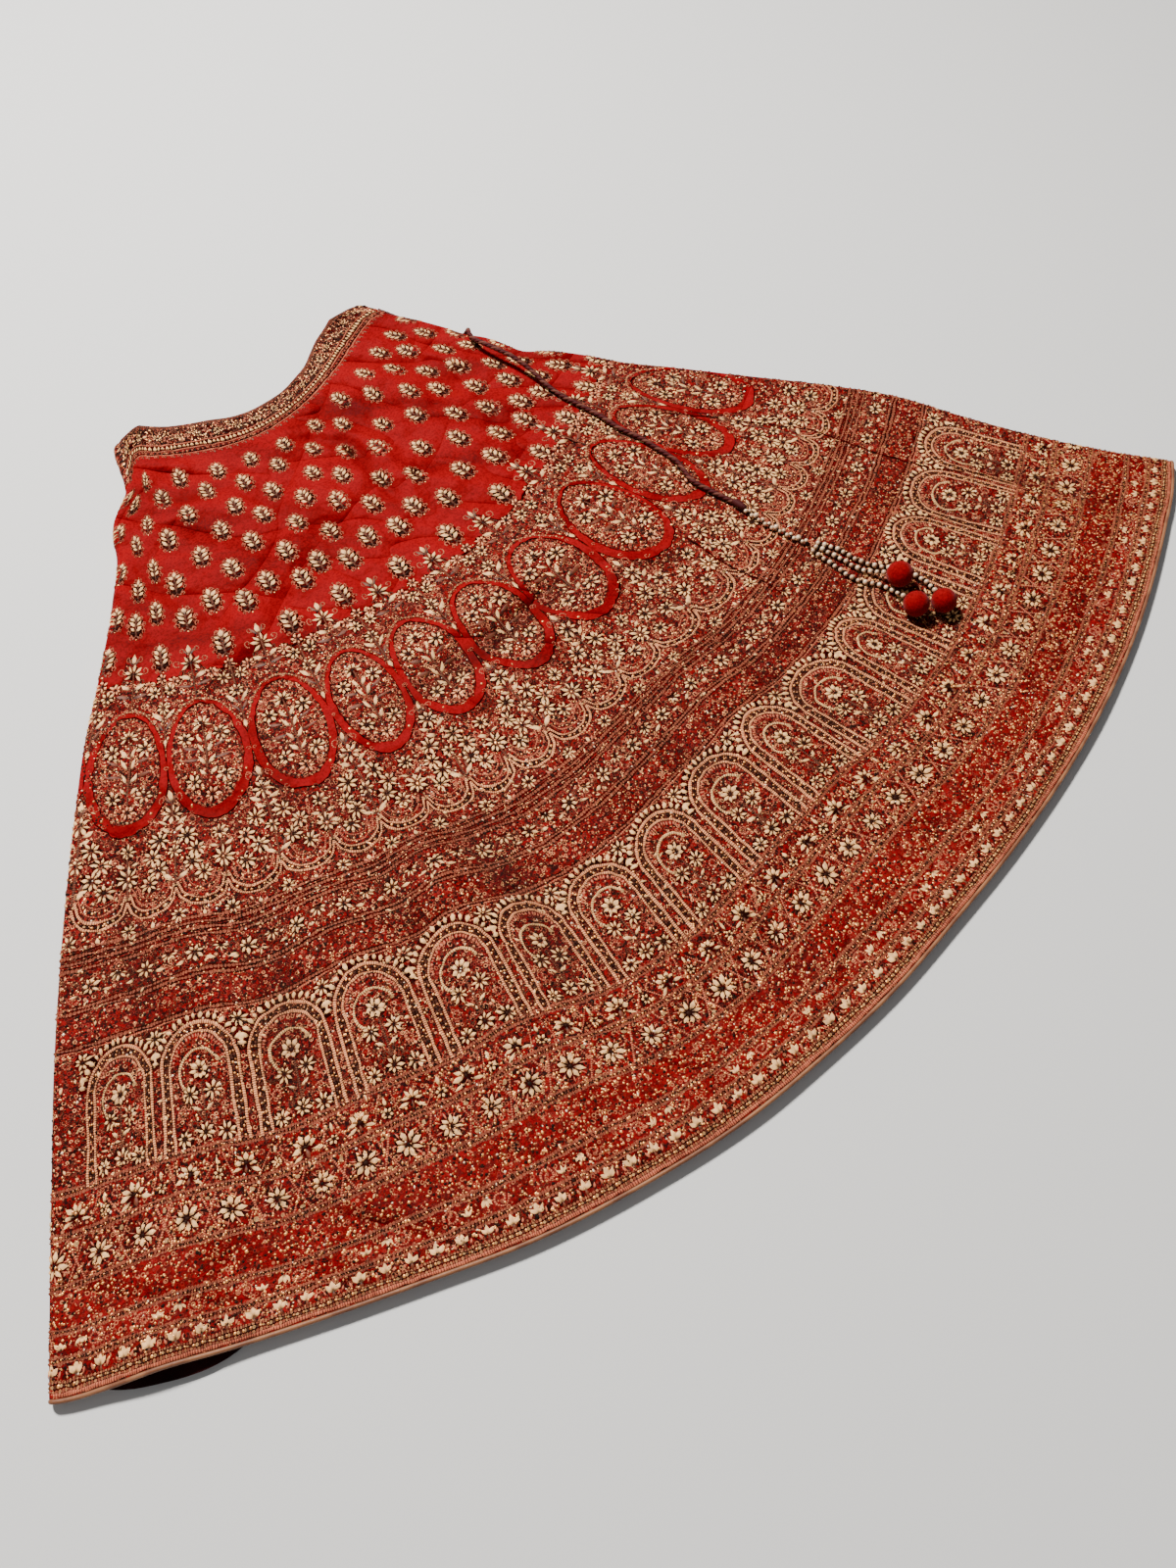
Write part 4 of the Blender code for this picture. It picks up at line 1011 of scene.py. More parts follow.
class ClothGrid:
    """A wall of cloth as a fine grid in the part's frame, for its shells and the stitches laid on them."""

    LAST_OVAL = 31.0
    FLOOR_SLACK = 2e-5

    def __init__(self, form: SkirtForm, rows: Array, wall: float,
                 radius_of: Callable[[Array, Array], Array]) -> None:
        """Lay out the grid.

        Args:
            form: The surface that it follows.
            rows: The nominal rows, from the waist towards the hem.
            wall: The cloth's thickness.
            radius_of: Gives the true radius of a row at a round value.
        """
        self.form = form
        self.rows = rows
        self.columns = self._columns()
        places, nominal = np.meshgrid(self.columns, rows, indexing="ij")
        radii = radius_of(places, nominal)
        middle = form.middle(places, radii, wall)
        self.normal = form.outward(places, radii, wall)
        front = np.abs(form.wrap(places)) < form.half_fan
        # how deep in a trough each point lies, kept for the painted trough shade
        self.hollow = np.where(front, form.hollow(middle[..., 0], middle[..., 1]), 0.0)
        self.outer = self._settle(middle + self.normal * wall / 2)
        self.inner = self._settle(middle - self.normal * wall / 2)
        pattern = nominal - form.slip(places, nominal)
        self.marks = {"row": pattern, "oval": np.interp(places, OVAL_CENTRES, np.arange(len(OVAL_CENTRES))),
                      "warp": np.radians(places) * nominal, "hollow": self.hollow,
                      "down": (pattern - form.oval_row(places)) / form.oval_length(places)}
        beyond = np.abs(places) > self.LAST_OVAL
        spread = np.where(places > 0, (places - OVAL_CENTRES[-1]) / OUTER_OVAL_PITCH + len(OVAL_CENTRES) - 1,
                          (places - OVAL_CENTRES[0]) / OUTER_OVAL_PITCH)
        self.marks["oval"] = np.where(beyond, spread, self.marks["oval"])

    @staticmethod
    def _columns() -> Array:
        """Return the columns' round values: close on the front and its rolls, wide on the back."""
        rolls_start, rolls_end, roll_step = 31.6, 35.2, 0.1
        fine = [FIRST_SEAM + GORE_STEP / 45 * k for k in range(-115, 115)]
        wide = [FIRST_SEAM + GORE_STEP / 4 * k for k in range(-12, 29)]
        columns = [side * (31.7 + roll_step * k) for k in range(32) for side in SIDES]
        columns += [value for value in fine if abs(value) < rolls_start]
        columns += [value for value in wide if abs(value) > rolls_end]
        return np.array(sorted(columns))

    @staticmethod
    def _settle(points: Array) -> Array:
        """Return points moved into the part's frame, with the flat underside exactly on the floor."""
        points[..., 2] = np.where(points[..., 2] < ClothGrid.FLOOR_SLACK, 0.0, points[..., 2])
        return points + np.array(APEX)

    def shell(self, name: str, start: float, end: float) -> Object:
        """Make the closed wall between two round values that are columns of the grid."""
        first, last = (int(np.argmin(np.abs(self.columns - value))) for value in (start, end))
        span = slice(first, last + 1)
        points, faces = closed_wall(self.outer[span], self.inner[span])
        marks = {mark: np.tile(values[span].ravel(), 2) for mark, values in self.marks.items()}
        return build_mesh(name, points, faces, marks=marks, crease=60.0)

    def sample(self, rounds: Array, rows: Array) -> List[Array]:
        """Return points of the outer face, its normals and how far down in troughs they lie.

        Args:
            rounds: Round values.
            rows: Rows of the grid, slip included.

        Returns:
            The points, the unit normals and the depths from 0 to 1.
        """
        i = np.clip(np.searchsorted(self.columns, rounds, side="right") - 1, 0, len(self.columns) - 2)
        s = (rounds - self.columns[i]) / (self.columns[i + 1] - self.columns[i])
        at = (rows - self.rows[0]) / (self.rows[1] - self.rows[0])
        j = np.clip(at.astype(int), 0, len(self.rows) - 2)
        t = at - j
        s, t = s[..., None], t[..., None]
        result = []
        for grid in (self.outer, self.normal, self.hollow[..., None]):
            near = grid[i, j] * (1 - t) + grid[i, j + 1] * t
            far = grid[i + 1, j] * (1 - t) + grid[i + 1, j + 1] * t
            result.append(near * (1 - s) + far * s)
        return result

    def tree(self) -> BVHTree:
        """Return a search tree over the outer face."""
        columns, rows = self.outer.shape[:2]
        quads = grid_quads(np.arange(columns * rows).reshape(columns, rows))
        return BVHTree.FromPolygons(self.outer.reshape(-1, 3).tolist(), quads.tolist())


def sweep(path: Array, radii: Array, sides: int, lobes: int = 0, lobe_depth: float = 0.0,
          pitch: float = 1.0, ups: Optional[Array] = None) -> Tuple[Array, Array, Array]:
    """Sweep a ring along a path.

    Args:
        path: The centreline's points.
        radii: The radius at each of them.
        sides: The number of points in each ring.
        lobes: How many strands are twisted together.
        lobe_depth: How deep the grooves between them are, as a share of the radius.
        pitch: The length of one whole twist.
        ups: Directions that the rings are set out from; straight up where it isn't given.

    Returns:
        The points, the triangles, and each point's groove depth, with 2 added on the first strand.
    """
    heading = unit(np.gradient(path, axis=0))
    ups = np.tile([0.0, 0.0, 1.0], (len(path), 1)) if ups is None else ups
    side = unit(np.cross(heading, ups))
    up = np.cross(side, heading)
    turns = np.arange(sides) * 2 * math.pi / sides
    twist = turns[None, :] - (2 * math.pi * travelled_along(path) / pitch)[:, None]
    groove = 1 - np.abs(np.cos(twist * lobes / 2)) if lobes else np.zeros_like(twist)
    pale = np.cos(twist) > 0.5 if lobes else np.zeros_like(twist)
    reach = radii[:, None] * (1 - lobe_depth * groove ** 1.5)
    rings = (path[:, None, :] + reach[..., None] * (np.cos(turns)[None, :, None] * side[:, None, :]
                                                     + np.sin(turns)[None, :, None] * up[:, None, :]))
    points = np.concatenate([path[:1], rings.reshape(-1, 3), path[-1:]])
    index = 1 + np.arange(len(path) * sides).reshape(len(path), sides)
    following = np.roll(index, -1, axis=1)
    quads = np.stack([index[:-1], following[:-1], following[1:], index[1:]], axis=-1).reshape(-1, 4)
    last = np.full(sides, len(points) - 1)
    faces = np.concatenate([quads[:, [0, 1, 2]], quads[:, [0, 2, 3]],
                            np.stack([np.zeros(sides, int), following[0], index[0]], axis=-1),
                            np.stack([last, index[-1], following[-1]], axis=-1)])
    return points, faces, np.concatenate([[1.0], (groove + 2 * pale).ravel(), [1.0]])


class SkirtCloth:
    """The gores, the waistband, the piping and the lining."""

    def __init__(self, form: SkirtForm) -> None:
        """Lay out the skirt's and the waistband's grids."""
        self.form = form
        self.skirt = ClothGrid(form, np.linspace(SEAM_ROW, HEM_ROW, 200), GORE_WALL, form.gore_radius)
        self.band = ClothGrid(form, np.linspace(BAND_TOP_ROW, SEAM_ROW, 9), BAND_WALL, form.band_radius)

    def make_gores(self, silk: Material) -> None:
        """Make the ten gores, numbered from the one right of the front's middle, round by the back."""
        for index in range(GORE_COUNT):
            start = FIRST_SEAM + GORE_STEP * index
            start -= FULL_ROUND if start > LEFT_JOINT + FULL_ROUND - 1 else 0.0
            name = f"gore_{index + 1:02d}"
            gore = self.skirt.shell(f"{name}_cloth", start, start + GORE_STEP)
            keep(gore, [silk], [name])

    def make_waistband(self, silk: Material) -> None:
        """Make the waistband's front length, which goes round both folds, and its back length."""
        front = self.band.shell("waistband_front_cloth", LEFT_JOINT, RIGHT_JOINT)
        back = self.band.shell("waistband_back_cloth", RIGHT_JOINT, LEFT_JOINT + FULL_ROUND)
        for band, node, flat, below in ((front, "waistband_front", FRONT_BAND_FLAT, ["waistband_back_cloth"]),
                                        (back, "waistband_back", BACK_BAND_FLAT, [])):
            keep(band, [silk], [node])

    def make_piping(self, gold: Material) -> None:
        """Make the rolled edge along the hem, in a front and a back length."""
        spans = {"hem_piping_front": (LEFT_JOINT, RIGHT_JOINT),
                 "hem_piping_back": (RIGHT_JOINT, LEFT_JOINT + FULL_ROUND)}
        for name, (start, end) in spans.items():
            columns = self.skirt.columns
            places = columns[(columns > start - 0.01) & (columns < end + 0.01)].copy()
            inset = math.degrees(SEAM_GAP / HEM_ROW)
            places[0] += inset
            places[-1] -= inset
            radius = PIPING_WIDTH / 2
            hem = table_value(HEM, "radius", self.form.wrap(places)) - radius
            core = self.form.middle(places, hem, GORE_WALL)
            core[:, 2] = np.maximum(core[:, 2], radius)
            out = self.form.outward(places, hem, GORE_WALL)
            points, faces, _ = sweep(core, np.full(len(core), radius), 12, ups=out)
            points[:, 2] = np.maximum(points[:, 2], 0.0)
            keep(build_mesh(f"{name}_roll", points + np.array(APEX), faces), [gold], [name])

    def make_lining(self, cloth: Material) -> None:
        """Make the lining's hem, which reaches past the lifted front hem at the left corner."""
        places, rows = np.meshgrid(np.linspace(LINING_START, LINING_END, 65),
                                   np.linspace(LINING_TOP_ROW, LINING_HEM_ROW, 19), indexing="ij")
        short = np.abs((places - (LINING_START + LINING_END) / 2) / ((LINING_END - LINING_START) / 2))
        rows = rows - (rows - LINING_TOP_ROW) * LINING_END_CUT * short ** 3
        lower = self.form.middle(places, rows, GORE_WALL)
        lower[..., 2] = GORE_WALL + SEAM_GAP + (PIPING_WIDTH - GORE_WALL) * smooth_step(*LINING_LIFT, rows)
        upper = lower + np.array([0.0, 0.0, LINING_WALL])
        apex = np.array(APEX)
        lining = build_mesh("lining_hem_cloth", *closed_wall(upper + apex, lower + apex), crease=60.0)
        keep(lining, [cloth], ["lining_hem"])


# ---------------- stitched shapes

Point = Tuple[float, float, float, float]       # u, v, the height and how far along its thread it lies
Triangle = Tuple[int, int, int]


def spot(heading: float, across: float, down: Optional[float] = None, u: float = 0.0,
         v: float = 0.0) -> Place:
    """Return the place at a heading on a round, or on an oval whose two radii are given, about (u, v)."""
    turn = math.radians(heading)
    return u + across * math.sin(turn), v - (across if down is None else down) * math.cos(turn)


def oval_arc(v: float, half_width: float, half_height: float, start: float, end: float,
             count: int) -> List[Place]:
    """Return places on an oval about (0, v), between two headings."""
    return [spot(start + (end - start) * k / (count - 1), half_width, half_height, v=v) for k in range(count)]


class Motif:
    """A stitched shape drawn flat, in millimetres: u runs to the right and v towards the hem."""

    def __init__(self) -> None:
        """Start with nothing drawn."""
        self.points: List[Point] = []
        self.faces: List[Triangle] = []
        self.kinds: List[int] = []

    def _add(self, points: Sequence[Point], faces: Iterable[Triangle], thread: Thread) -> "Motif":
        """Add triangles of one thread, turned so that they all face outwards."""
        first = len(self.points)
        self.points.extend(points)
        for a, b, c in faces:
            (au, av), (bu, bv), (cu, cv) = points[a][:2], points[b][:2], points[c][:2]
            turned_over = (bu - au) * (cv - av) - (bv - av) * (cu - au) > 0
            b, c = (c, b) if turned_over else (b, c)
            self.faces.append((first + a, first + b, first + c))
            self.kinds.append(thread.value)
        return self

    def petal(self, u: float, v: float, heading: float, length: float, width: float,
              thread: Thread = CREAM, height: float = 1.1, belly: float = 0.62) -> "Motif":
        """Draw a padded petal or leaf.

        Args:
            u: Where it starts.
            v: Where it starts.
            heading: Which way it points: 0 is towards the waist and 90 to the right.
            length: Its length.
            width: Its greatest width.
            thread: What it is worked in.
            height: How high its ridge stands.
            belly: Where along it, as a share, it is widest.

        Returns:
            The motif itself.
        """
        turn = math.radians(heading)
        ahead, across = (math.sin(turn), -math.cos(turn)), (math.cos(turn), math.sin(turn))
        near = belly * 0.5
        shape = ((0.0, 0.0, 0.25), (near, 0.38, 0.25), (belly, 0.5, 0.25), (1.0, 0.0, 0.3),
                 (belly, -0.5, 0.25), (near, -0.38, 0.25), (near, 0.0, 0.9), (belly * 1.1, 0.0, 1.0))
        points = [(u + ahead[0] * length * along + across[0] * width * side,
                   v + ahead[1] * length * along + across[1] * width * side,
                   height * share, -along - 0.001) for along, side, share in shape]
        return self._add(points, ((0, 1, 6), (1, 2, 7), (1, 7, 6), (2, 3, 7), (3, 4, 7), (4, 5, 6), (4, 6, 7),
                                  (5, 0, 6)), thread)

    def line(self, path: Sequence[Place], width: float, thread: Thread, height: float = 0.8) -> "Motif":
        """Draw a raised line of thread along a path."""
        places = np.array(path, float)
        heading = np.gradient(places, axis=0)
        heading /= np.maximum(np.linalg.norm(heading, axis=1, keepdims=True), 1e-9)
        side = np.stack([-heading[:, 1], heading[:, 0]], axis=1) * width / 2
        points = []
        for place, out, along in zip(places, side, travelled_along(places) * MILLIMETRE):
            points.extend([(*(place - out), LINE_FOOT, along), (*place, height, along),
                           (*(place + out), LINE_FOOT, along)])
        faces = []
        for k in range(0, 3 * (len(places) - 1), 3):
            faces.extend([(k, k + 1, k + 3), (k + 1, k + 4, k + 3),
                          (k + 1, k + 2, k + 4), (k + 2, k + 5, k + 4)])
        return self._add(points, faces, thread)

    def bead(self, u: float, v: float, diameter: float, thread: Thread, sides: int = 6,
             height: Optional[float] = None) -> "Motif":
        """Draw a bead, or a knot of thread."""
        radius = diameter / 2
        top = radius * 0.9 if height is None else height
        turns = [2 * math.pi * k / sides for k in range(sides)]
        rim = [(u + radius * math.cos(turn), v + radius * math.sin(turn), LINE_FOOT, 0.0) for turn in turns]
        return self._add([*rim, (u, v, top, diameter * 2 * MILLIMETRE)],
                         [(k, (k + 1) % sides, sides) for k in range(sides)], thread)

    def flower(self, u: float, v: float, radius: float, petals: int, thread: Thread = CREAM,
               heart: Thread = DARK, turn: float = 0.0, plump: float = 1.15,
               spread: float = 360.0) -> "Motif":
        """Draw a flower, or a fan of petals where the spread is less than a full turn.

        Args:
            u: Its middle.
            v: Its middle.
            radius: Its radius.
            petals: How many petals it has.
            thread: What they are worked in.
            heart: What its middle is.
            turn: Which way its first petal, or its fan, points.
            plump: How much of the room between petals they fill.
            spread: The angle that they spread over.

        Returns:
            The motif itself.
        """
        whole = spread >= 360.0
        # a dark disc of painted shadow under the flower
        self.bead(u, v, radius * (1.9 if whole else 1.3), SHADE, 10, FLAT_HEIGHT)
        step = spread / petals if whole else spread / (petals - 1)
        first = turn if whole else turn - spread / 2
        start = radius * 0.20
        for index in range(petals):
            # between -1 and 1, set by the flower's place and the petal's number
            uneven = math.sin(u * 12.99 + v * 78.23 + index * 37.72)
            heading = first + step * (index + 0.20 * uneven)
            reach = 0.77 + 0.11 * math.sin(uneven * 40)
            self.petal(*spot(heading, start, None, u, v), heading, radius * reach,
                       radius * math.radians(min(step, 60.0)) * plump / 3, thread)
        return self.bead(u, v, radius * 0.34, heart, height=1.3)

    def curl(self, u: float, v: float, radius: float, start: float, swing: float, width: float,
             thread: Thread, shrink: float = 0.75, knob: float = 0.0) -> "Motif":
        """Draw part of a spiral, with a knob at its inner end where one is asked for.

        Args:
            u: The spiral's middle.
            v: The spiral's middle.
            radius: Its outer radius.
            start: Where it starts, as a heading from its middle.
            swing: How far it turns; clockwise where positive.
            width: The line's width.
            thread: What it is worked in.
            shrink: How much of the radius is lost by its end.
            knob: The knob's diameter.

        Returns:
            The motif itself.
        """
        steps = max(4, round(abs(swing) / 40))
        shares = [index / steps for index in range(steps + 1)]
        path = [spot(start + swing * share, radius * (1 - shrink * share), None, u, v) for share in shares]
        self.line(path, width, thread)
        return self.bead(*path[-1], knob, thread) if knob else self

    def dots(self, path: Iterable[Place], diameter: float, *threads: Thread) -> "Motif":
        """Draw a bead at each place, with the threads in turn."""
        for index, (u, v) in enumerate(path):
            self.bead(u, v, diameter, threads[index % len(threads)], 5)
        return self

    def petals(self, u: float, v: float, heading: float, *shape: Union[float, Thread]) -> "Motif":
        """Draw a petal's mirror image on the left, and the petal on the right."""
        for side in SIDES:
            self.petal(side * u, v, side * heading, *shape)
        return self

    def curls(self, u: float, v: float, radius: float, start: float, swing: float, width: float,
              thread: Thread = ROSE, shrink: float = 0.6, knob: float = 2.0) -> "Motif":
        """Draw a curl's mirror image on the left, and the curl on the right."""
        for side in SIDES:
            self.curl(side * u, v, radius, side * start, side * swing, width, thread, shrink, knob)
        return self

    def flowers(self, u: float, v: float, radius: float, petals: int, thread: Thread = CREAM,
                turn: float = 0.0) -> "Motif":
        """Draw a flower at the same place on the left and on the right."""
        for side in SIDES:
            self.flower(side * u, v, radius, petals, thread, turn=turn)
        return self

    def bead_pair(self, u: float, v: float, diameter: float, thread: Thread) -> "Motif":
        """Draw a bead at the same place on the left and on the right."""
        return self.bead(-u, v, diameter, thread).bead(u, v, diameter, thread)

    def lines(self, path: Sequence[Place], width: float, thread: Thread) -> "Motif":
        """Draw a line's mirror image on the left, and the line on the right."""
        for side in SIDES:
            self.line([(side * u, v) for u, v in path], width, thread)
        return self


class Gathered:
    """Points, faces, their kinds and their marks, gathered from several forms into one piece."""

    def __init__(self, name: str) -> None:
        """Start with nothing."""
        self.name = name
        self.points: List[Array] = []
        self.faces: List[Array] = []
        self.kinds: List[Array] = []
        self.marks: Dict[str, List[Array]] = {}
        self.count = 0

    def add(self, points: Array, faces: Array, kinds: Array, **marks: Array) -> None:
        """Add one form.

        Args:
            points: Its points.
            faces: Its faces.
            kinds: Their places among the piece's finishes.
            marks: Named numbers on its points for the finishes.
        """
        self.points.append(points)
        self.faces.append(faces + self.count)
        self.kinds.append(kinds)
        for mark, values in marks.items():
            self.marks.setdefault(mark, []).append(values)
        self.count += len(points)

    def build(self) -> Object:
        """Return them as one object."""
        marks = {mark: np.concatenate(values) for mark, values in self.marks.items()}
        return build_mesh(self.name, np.concatenate(self.points), np.concatenate(self.faces),
                          np.concatenate(self.kinds), marks)


class Embroidery(Gathered):
    """Stitches laid on the cloth and gathered into one piece."""

    EDGE = 33.9                  # no stitch reaches past this round value
    LAST = 33.4                  # no copy of a motif is laid past this one
    RING = (-33.6, 33.0, 0.6)    # where a ring starts and ends, and the length of its pieces, in degrees
    WAVER = 0.0006
    LARGEST_HEIGHT = 1.25        # a copy's height grows with its size up to this many times
    CLEAR = 0.0003               # the least height over the floor

    def __init__(self, name: str, cloth: ClothGrid) -> None:
        """Start a piece of embroidery on a cloth."""
        super().__init__(name)
        self.cloth = cloth

    def lay(self, motif: Motif, rounds: Sequence[float], rows: Each, turns: Each = 0.0, sizes: Each = 1.0,
            stretches: Each = 1.0) -> None:
        """Lay copies of a motif on the cloth.

        Args:
            motif: The motif.
            rounds: The copies' round values; those past the front's edge are left out.
            rows: Their rows.
            turns: How far each is turned, clockwise.
            sizes: How many times its drawn size each is.
            stretches: How many times wider still each is; a negative one mirrors it.
        """
        rounds = np.asarray(rounds, float)
        shown = np.abs(rounds) < self.LAST
        rows, turns, sizes, stretches = (np.broadcast_to(np.asarray(value, float), rounds.shape)[shown]
                                         for value in (rows, turns, sizes, stretches))
        rounds = rounds[shown]
        drawn = np.array(motif.points)
        turn = np.radians(turns)[:, None]
        u, v = drawn[None, :, 0] * stretches[:, None], drawn[None, :, 1]
        size = sizes[:, None] * MILLIMETRE
        across = (u * np.cos(turn) - v * np.sin(turn)) * size
        down = (u * np.sin(turn) + v * np.cos(turn)) * size
        drawn_rounds = rounds[:, None] + np.degrees(across / rows[:, None])
        places, nominal = self._by_hand(drawn_rounds, rows[:, None] + down)
        nominal = nominal + self.cloth.form.slip(places, nominal)
        points, normals, trough_shades = self.cloth.sample(places, nominal)
        heights = drawn[None, :, 2] * MILLIMETRE * np.minimum(sizes, self.LARGEST_HEIGHT)[:, None]
        points = points + normals * heights[..., None]
        points[..., 2] = np.maximum(points[..., 2], self.CLEAR)
        faces = np.array(motif.faces)
        mirrored = stretches < 0
        copies = np.where(mirrored[:, None, None], faces[None, :, ::-1], faces[None])
        copies = copies + (np.arange(len(rounds)) * len(drawn))[:, None, None]
        # each point keeps how deep in a trough it lies, for the painted trough shade
        self.add(points.reshape(-1, 3), copies.reshape(-1, 3), np.tile(motif.kinds, len(rounds)),
                 along=np.tile(drawn[:, 3], len(rounds)), hollow=trough_shades.ravel())

    def _by_hand(self, rounds: Array, rows: Array) -> Tuple[Array, Array]:
        """Return places moved a little to and fro, so that no two copies of a motif are quite alike."""
        # crossed waves 15 to 33 mm long, put out of step by longer ones
        along = np.radians(rounds) * rows
        moved = self.WAVER * np.sin(370 * along + 240 * rows + 2.0 * np.sin(90 * rows))
        lifted = self.WAVER * np.sin(430 * rows - 190 * along + 2.0 * np.sin(110 * along))
        return np.clip(rounds + np.degrees(moved / rows), -self.EDGE, self.EDGE), rows + lifted

    def along_row(self, pitch: float, start: float = 0.0) -> Array:
        """Return round values a pitch in degrees apart over the front."""
        return start + pitch * np.arange(math.ceil((-self.LAST - start) / pitch), (self.LAST - start) / pitch)

    def ring(self, row: float, width: float, thread: Thread, height: float = 0.8) -> None:
        """Lay one line right across the front along a row."""
        length = math.radians(self.RING[2]) * row / MILLIMETRE
        segment = Motif().line([(x, 0.0) for x in np.linspace(0, length, 3)], width, thread, height)
        self.lay(segment, np.arange(*self.RING), row)

    def beads(self, row: float, spacing: float, diameter: float, *threads: Thread) -> None:
        """Lay a row of beads, spaced in millimetres, with the threads in turn."""
        pitch = math.degrees(spacing * MILLIMETRE / row) * len(threads)
        for index, thread in enumerate(threads):
            bead = Motif().bead(0.0, 0.0, diameter, thread, 5)
            self.lay(bead, self.along_row(pitch, pitch * index / len(threads)), row)

    def chain(self, row: float) -> None:
        """Lay one row of knots on a dark line of painted shade."""
        self.ring(row, 4.95, SHADE, FLAT_HEIGHT)
        self.beads(row, 3.1, 3.3, ROSE)

    def ladder(self, row: float) -> None:
        """Lay two rows of knots with small beads in three threads between them."""
        self.ring(row, 3.68, SHADE, FLAT_HEIGHT)
        for side in SIDES:
            self.beads(row + side * 2.3 * MILLIMETRE, 2.8, 3.0, ROSE)
        self.beads(row, 2.7, 2.0, ROSE, GOLD, ANTIQUE)

    def path(self, places: Sequence[Place], width: float, thread: Thread) -> None:
        """Lay one line through given round values and rows."""
        knots = np.array(places)
        steps = np.linspace(0, len(knots) - 1, 12 * len(knots))
        numbers = np.arange(len(knots))
        smooth = np.stack([np.interp(steps, numbers, knots[:, axis]) for axis in (0, 1)], axis=1)
        centre = smooth.mean(axis=0)
        drawn = [(math.radians(value - centre[0]) * centre[1] / MILLIMETRE, (row - centre[1]) / MILLIMETRE)
                 for value, row in smooth]
        self.lay(Motif().line(drawn, width, thread, 1.3), [centre[0]], centre[1])

    def finish(self, threads: List[Material]) -> Object:
        """Make the piece."""
        return keep(self.build(), threads)


# ---------------- the borders

def midpoints(values: Sequence[float]) -> List[float]:
    """Return the values half way between neighbours."""
    return [(first + second) / 2 for first, second in zip(values, values[1:])]


@dataclass
class WaistTrim:
    """The waistband's worked curls and its cream ladder, with drops under the seam."""

    threads: List[Material]
    flower_row: float = 0.3515
    flower_pitch: float = 3.9
    ladder_row: float = 0.3668

    def make(self, band: ClothGrid, skirt: ClothGrid) -> None:
        """Lay it on the band and on the skirt under it."""
        work = Embroidery("waistband_embroidery", band)
        random = np.random.default_rng(3)
        work.ring(self.flower_row - 0.0005, 21.0, SHADE, FLAT_HEIGHT)
        for thread, count in ((ANTIQUE, 300), (ROSE, 130), (PEACH, 35)):
            curl = Motif().curl(0, 0, 3.6, 0, 280, 1.0, thread, 0.6)
            work.lay(curl, random.uniform(-STREWN, STREWN, count), random.uniform(0.3400, 0.3615, count),
                     turns=random.uniform(0, 360, count), sizes=random.uniform(0.6, 1.1, count))
        for thread, count in ((GOLD, 300), (CREAM, 60), (DARK, 1500)):
            work.lay(Motif().bead(0, 0, 2.4, thread, 5), random.uniform(-STREWN, STREWN, count),
                     random.uniform(0.3395, 0.3615, count))
        sprig = Motif().flower(0, 0, 6.0, 7)
        sprig.petals(6.5, 1.0, 75, 7.0, 2.6)
        sprig.petals(5.5, -4.0, 40, 5.5, 2.0, PEACH)
        rounds = work.along_row(self.flower_pitch)
        work.lay(sprig, rounds, self.flower_row, turns=random.uniform(-35, 35, len(rounds)),
                 sizes=random.uniform(0.7, 1.0, len(rounds)))
        small = Motif().flower(0, 0, 4.4, 6, ROSE)
        lifts = random.uniform(-0.005, 0.005, len(rounds))
        work.lay(small, rounds + self.flower_pitch / 2, self.flower_row + lifts)
        work.ring(0.3372, 2.2, ANTIQUE)
        work.beads(0.3395, 2.6, 2.4, ROSE, ANTIQUE)
        work.ring(self.ladder_row, 11.0, SHADE, 0.15)
        work.ring(self.ladder_row - 0.0046, 1.5, ROSE)
        work.ring(self.ladder_row + 0.0044, 1.3, ROSE)
        pearl = Motif().petal(0, 3.2, 0, 6.2, 3.6, CREAM, 1.8, 0.45)
        work.lay(pearl, work.along_row(0.78), self.ladder_row)
        work.beads(self.ladder_row + 0.0075, 3.0, 2.4, ROSE, DARK)
        work.finish(self.threads)
        drops = Embroidery("waist_drops", skirt)
        drop = Motif().petal(0, -6, 180, 5.5, 2.4, ANTIQUE).curl(-3.2, -5, 2.0, 40, 250, 0.9, ROSE, 0.5)
        drops.lay(drop, drops.along_row(1.4), 0.3845)
        drops.ring(0.3772, 1.6, ROSE)
        drops.finish(self.threads)


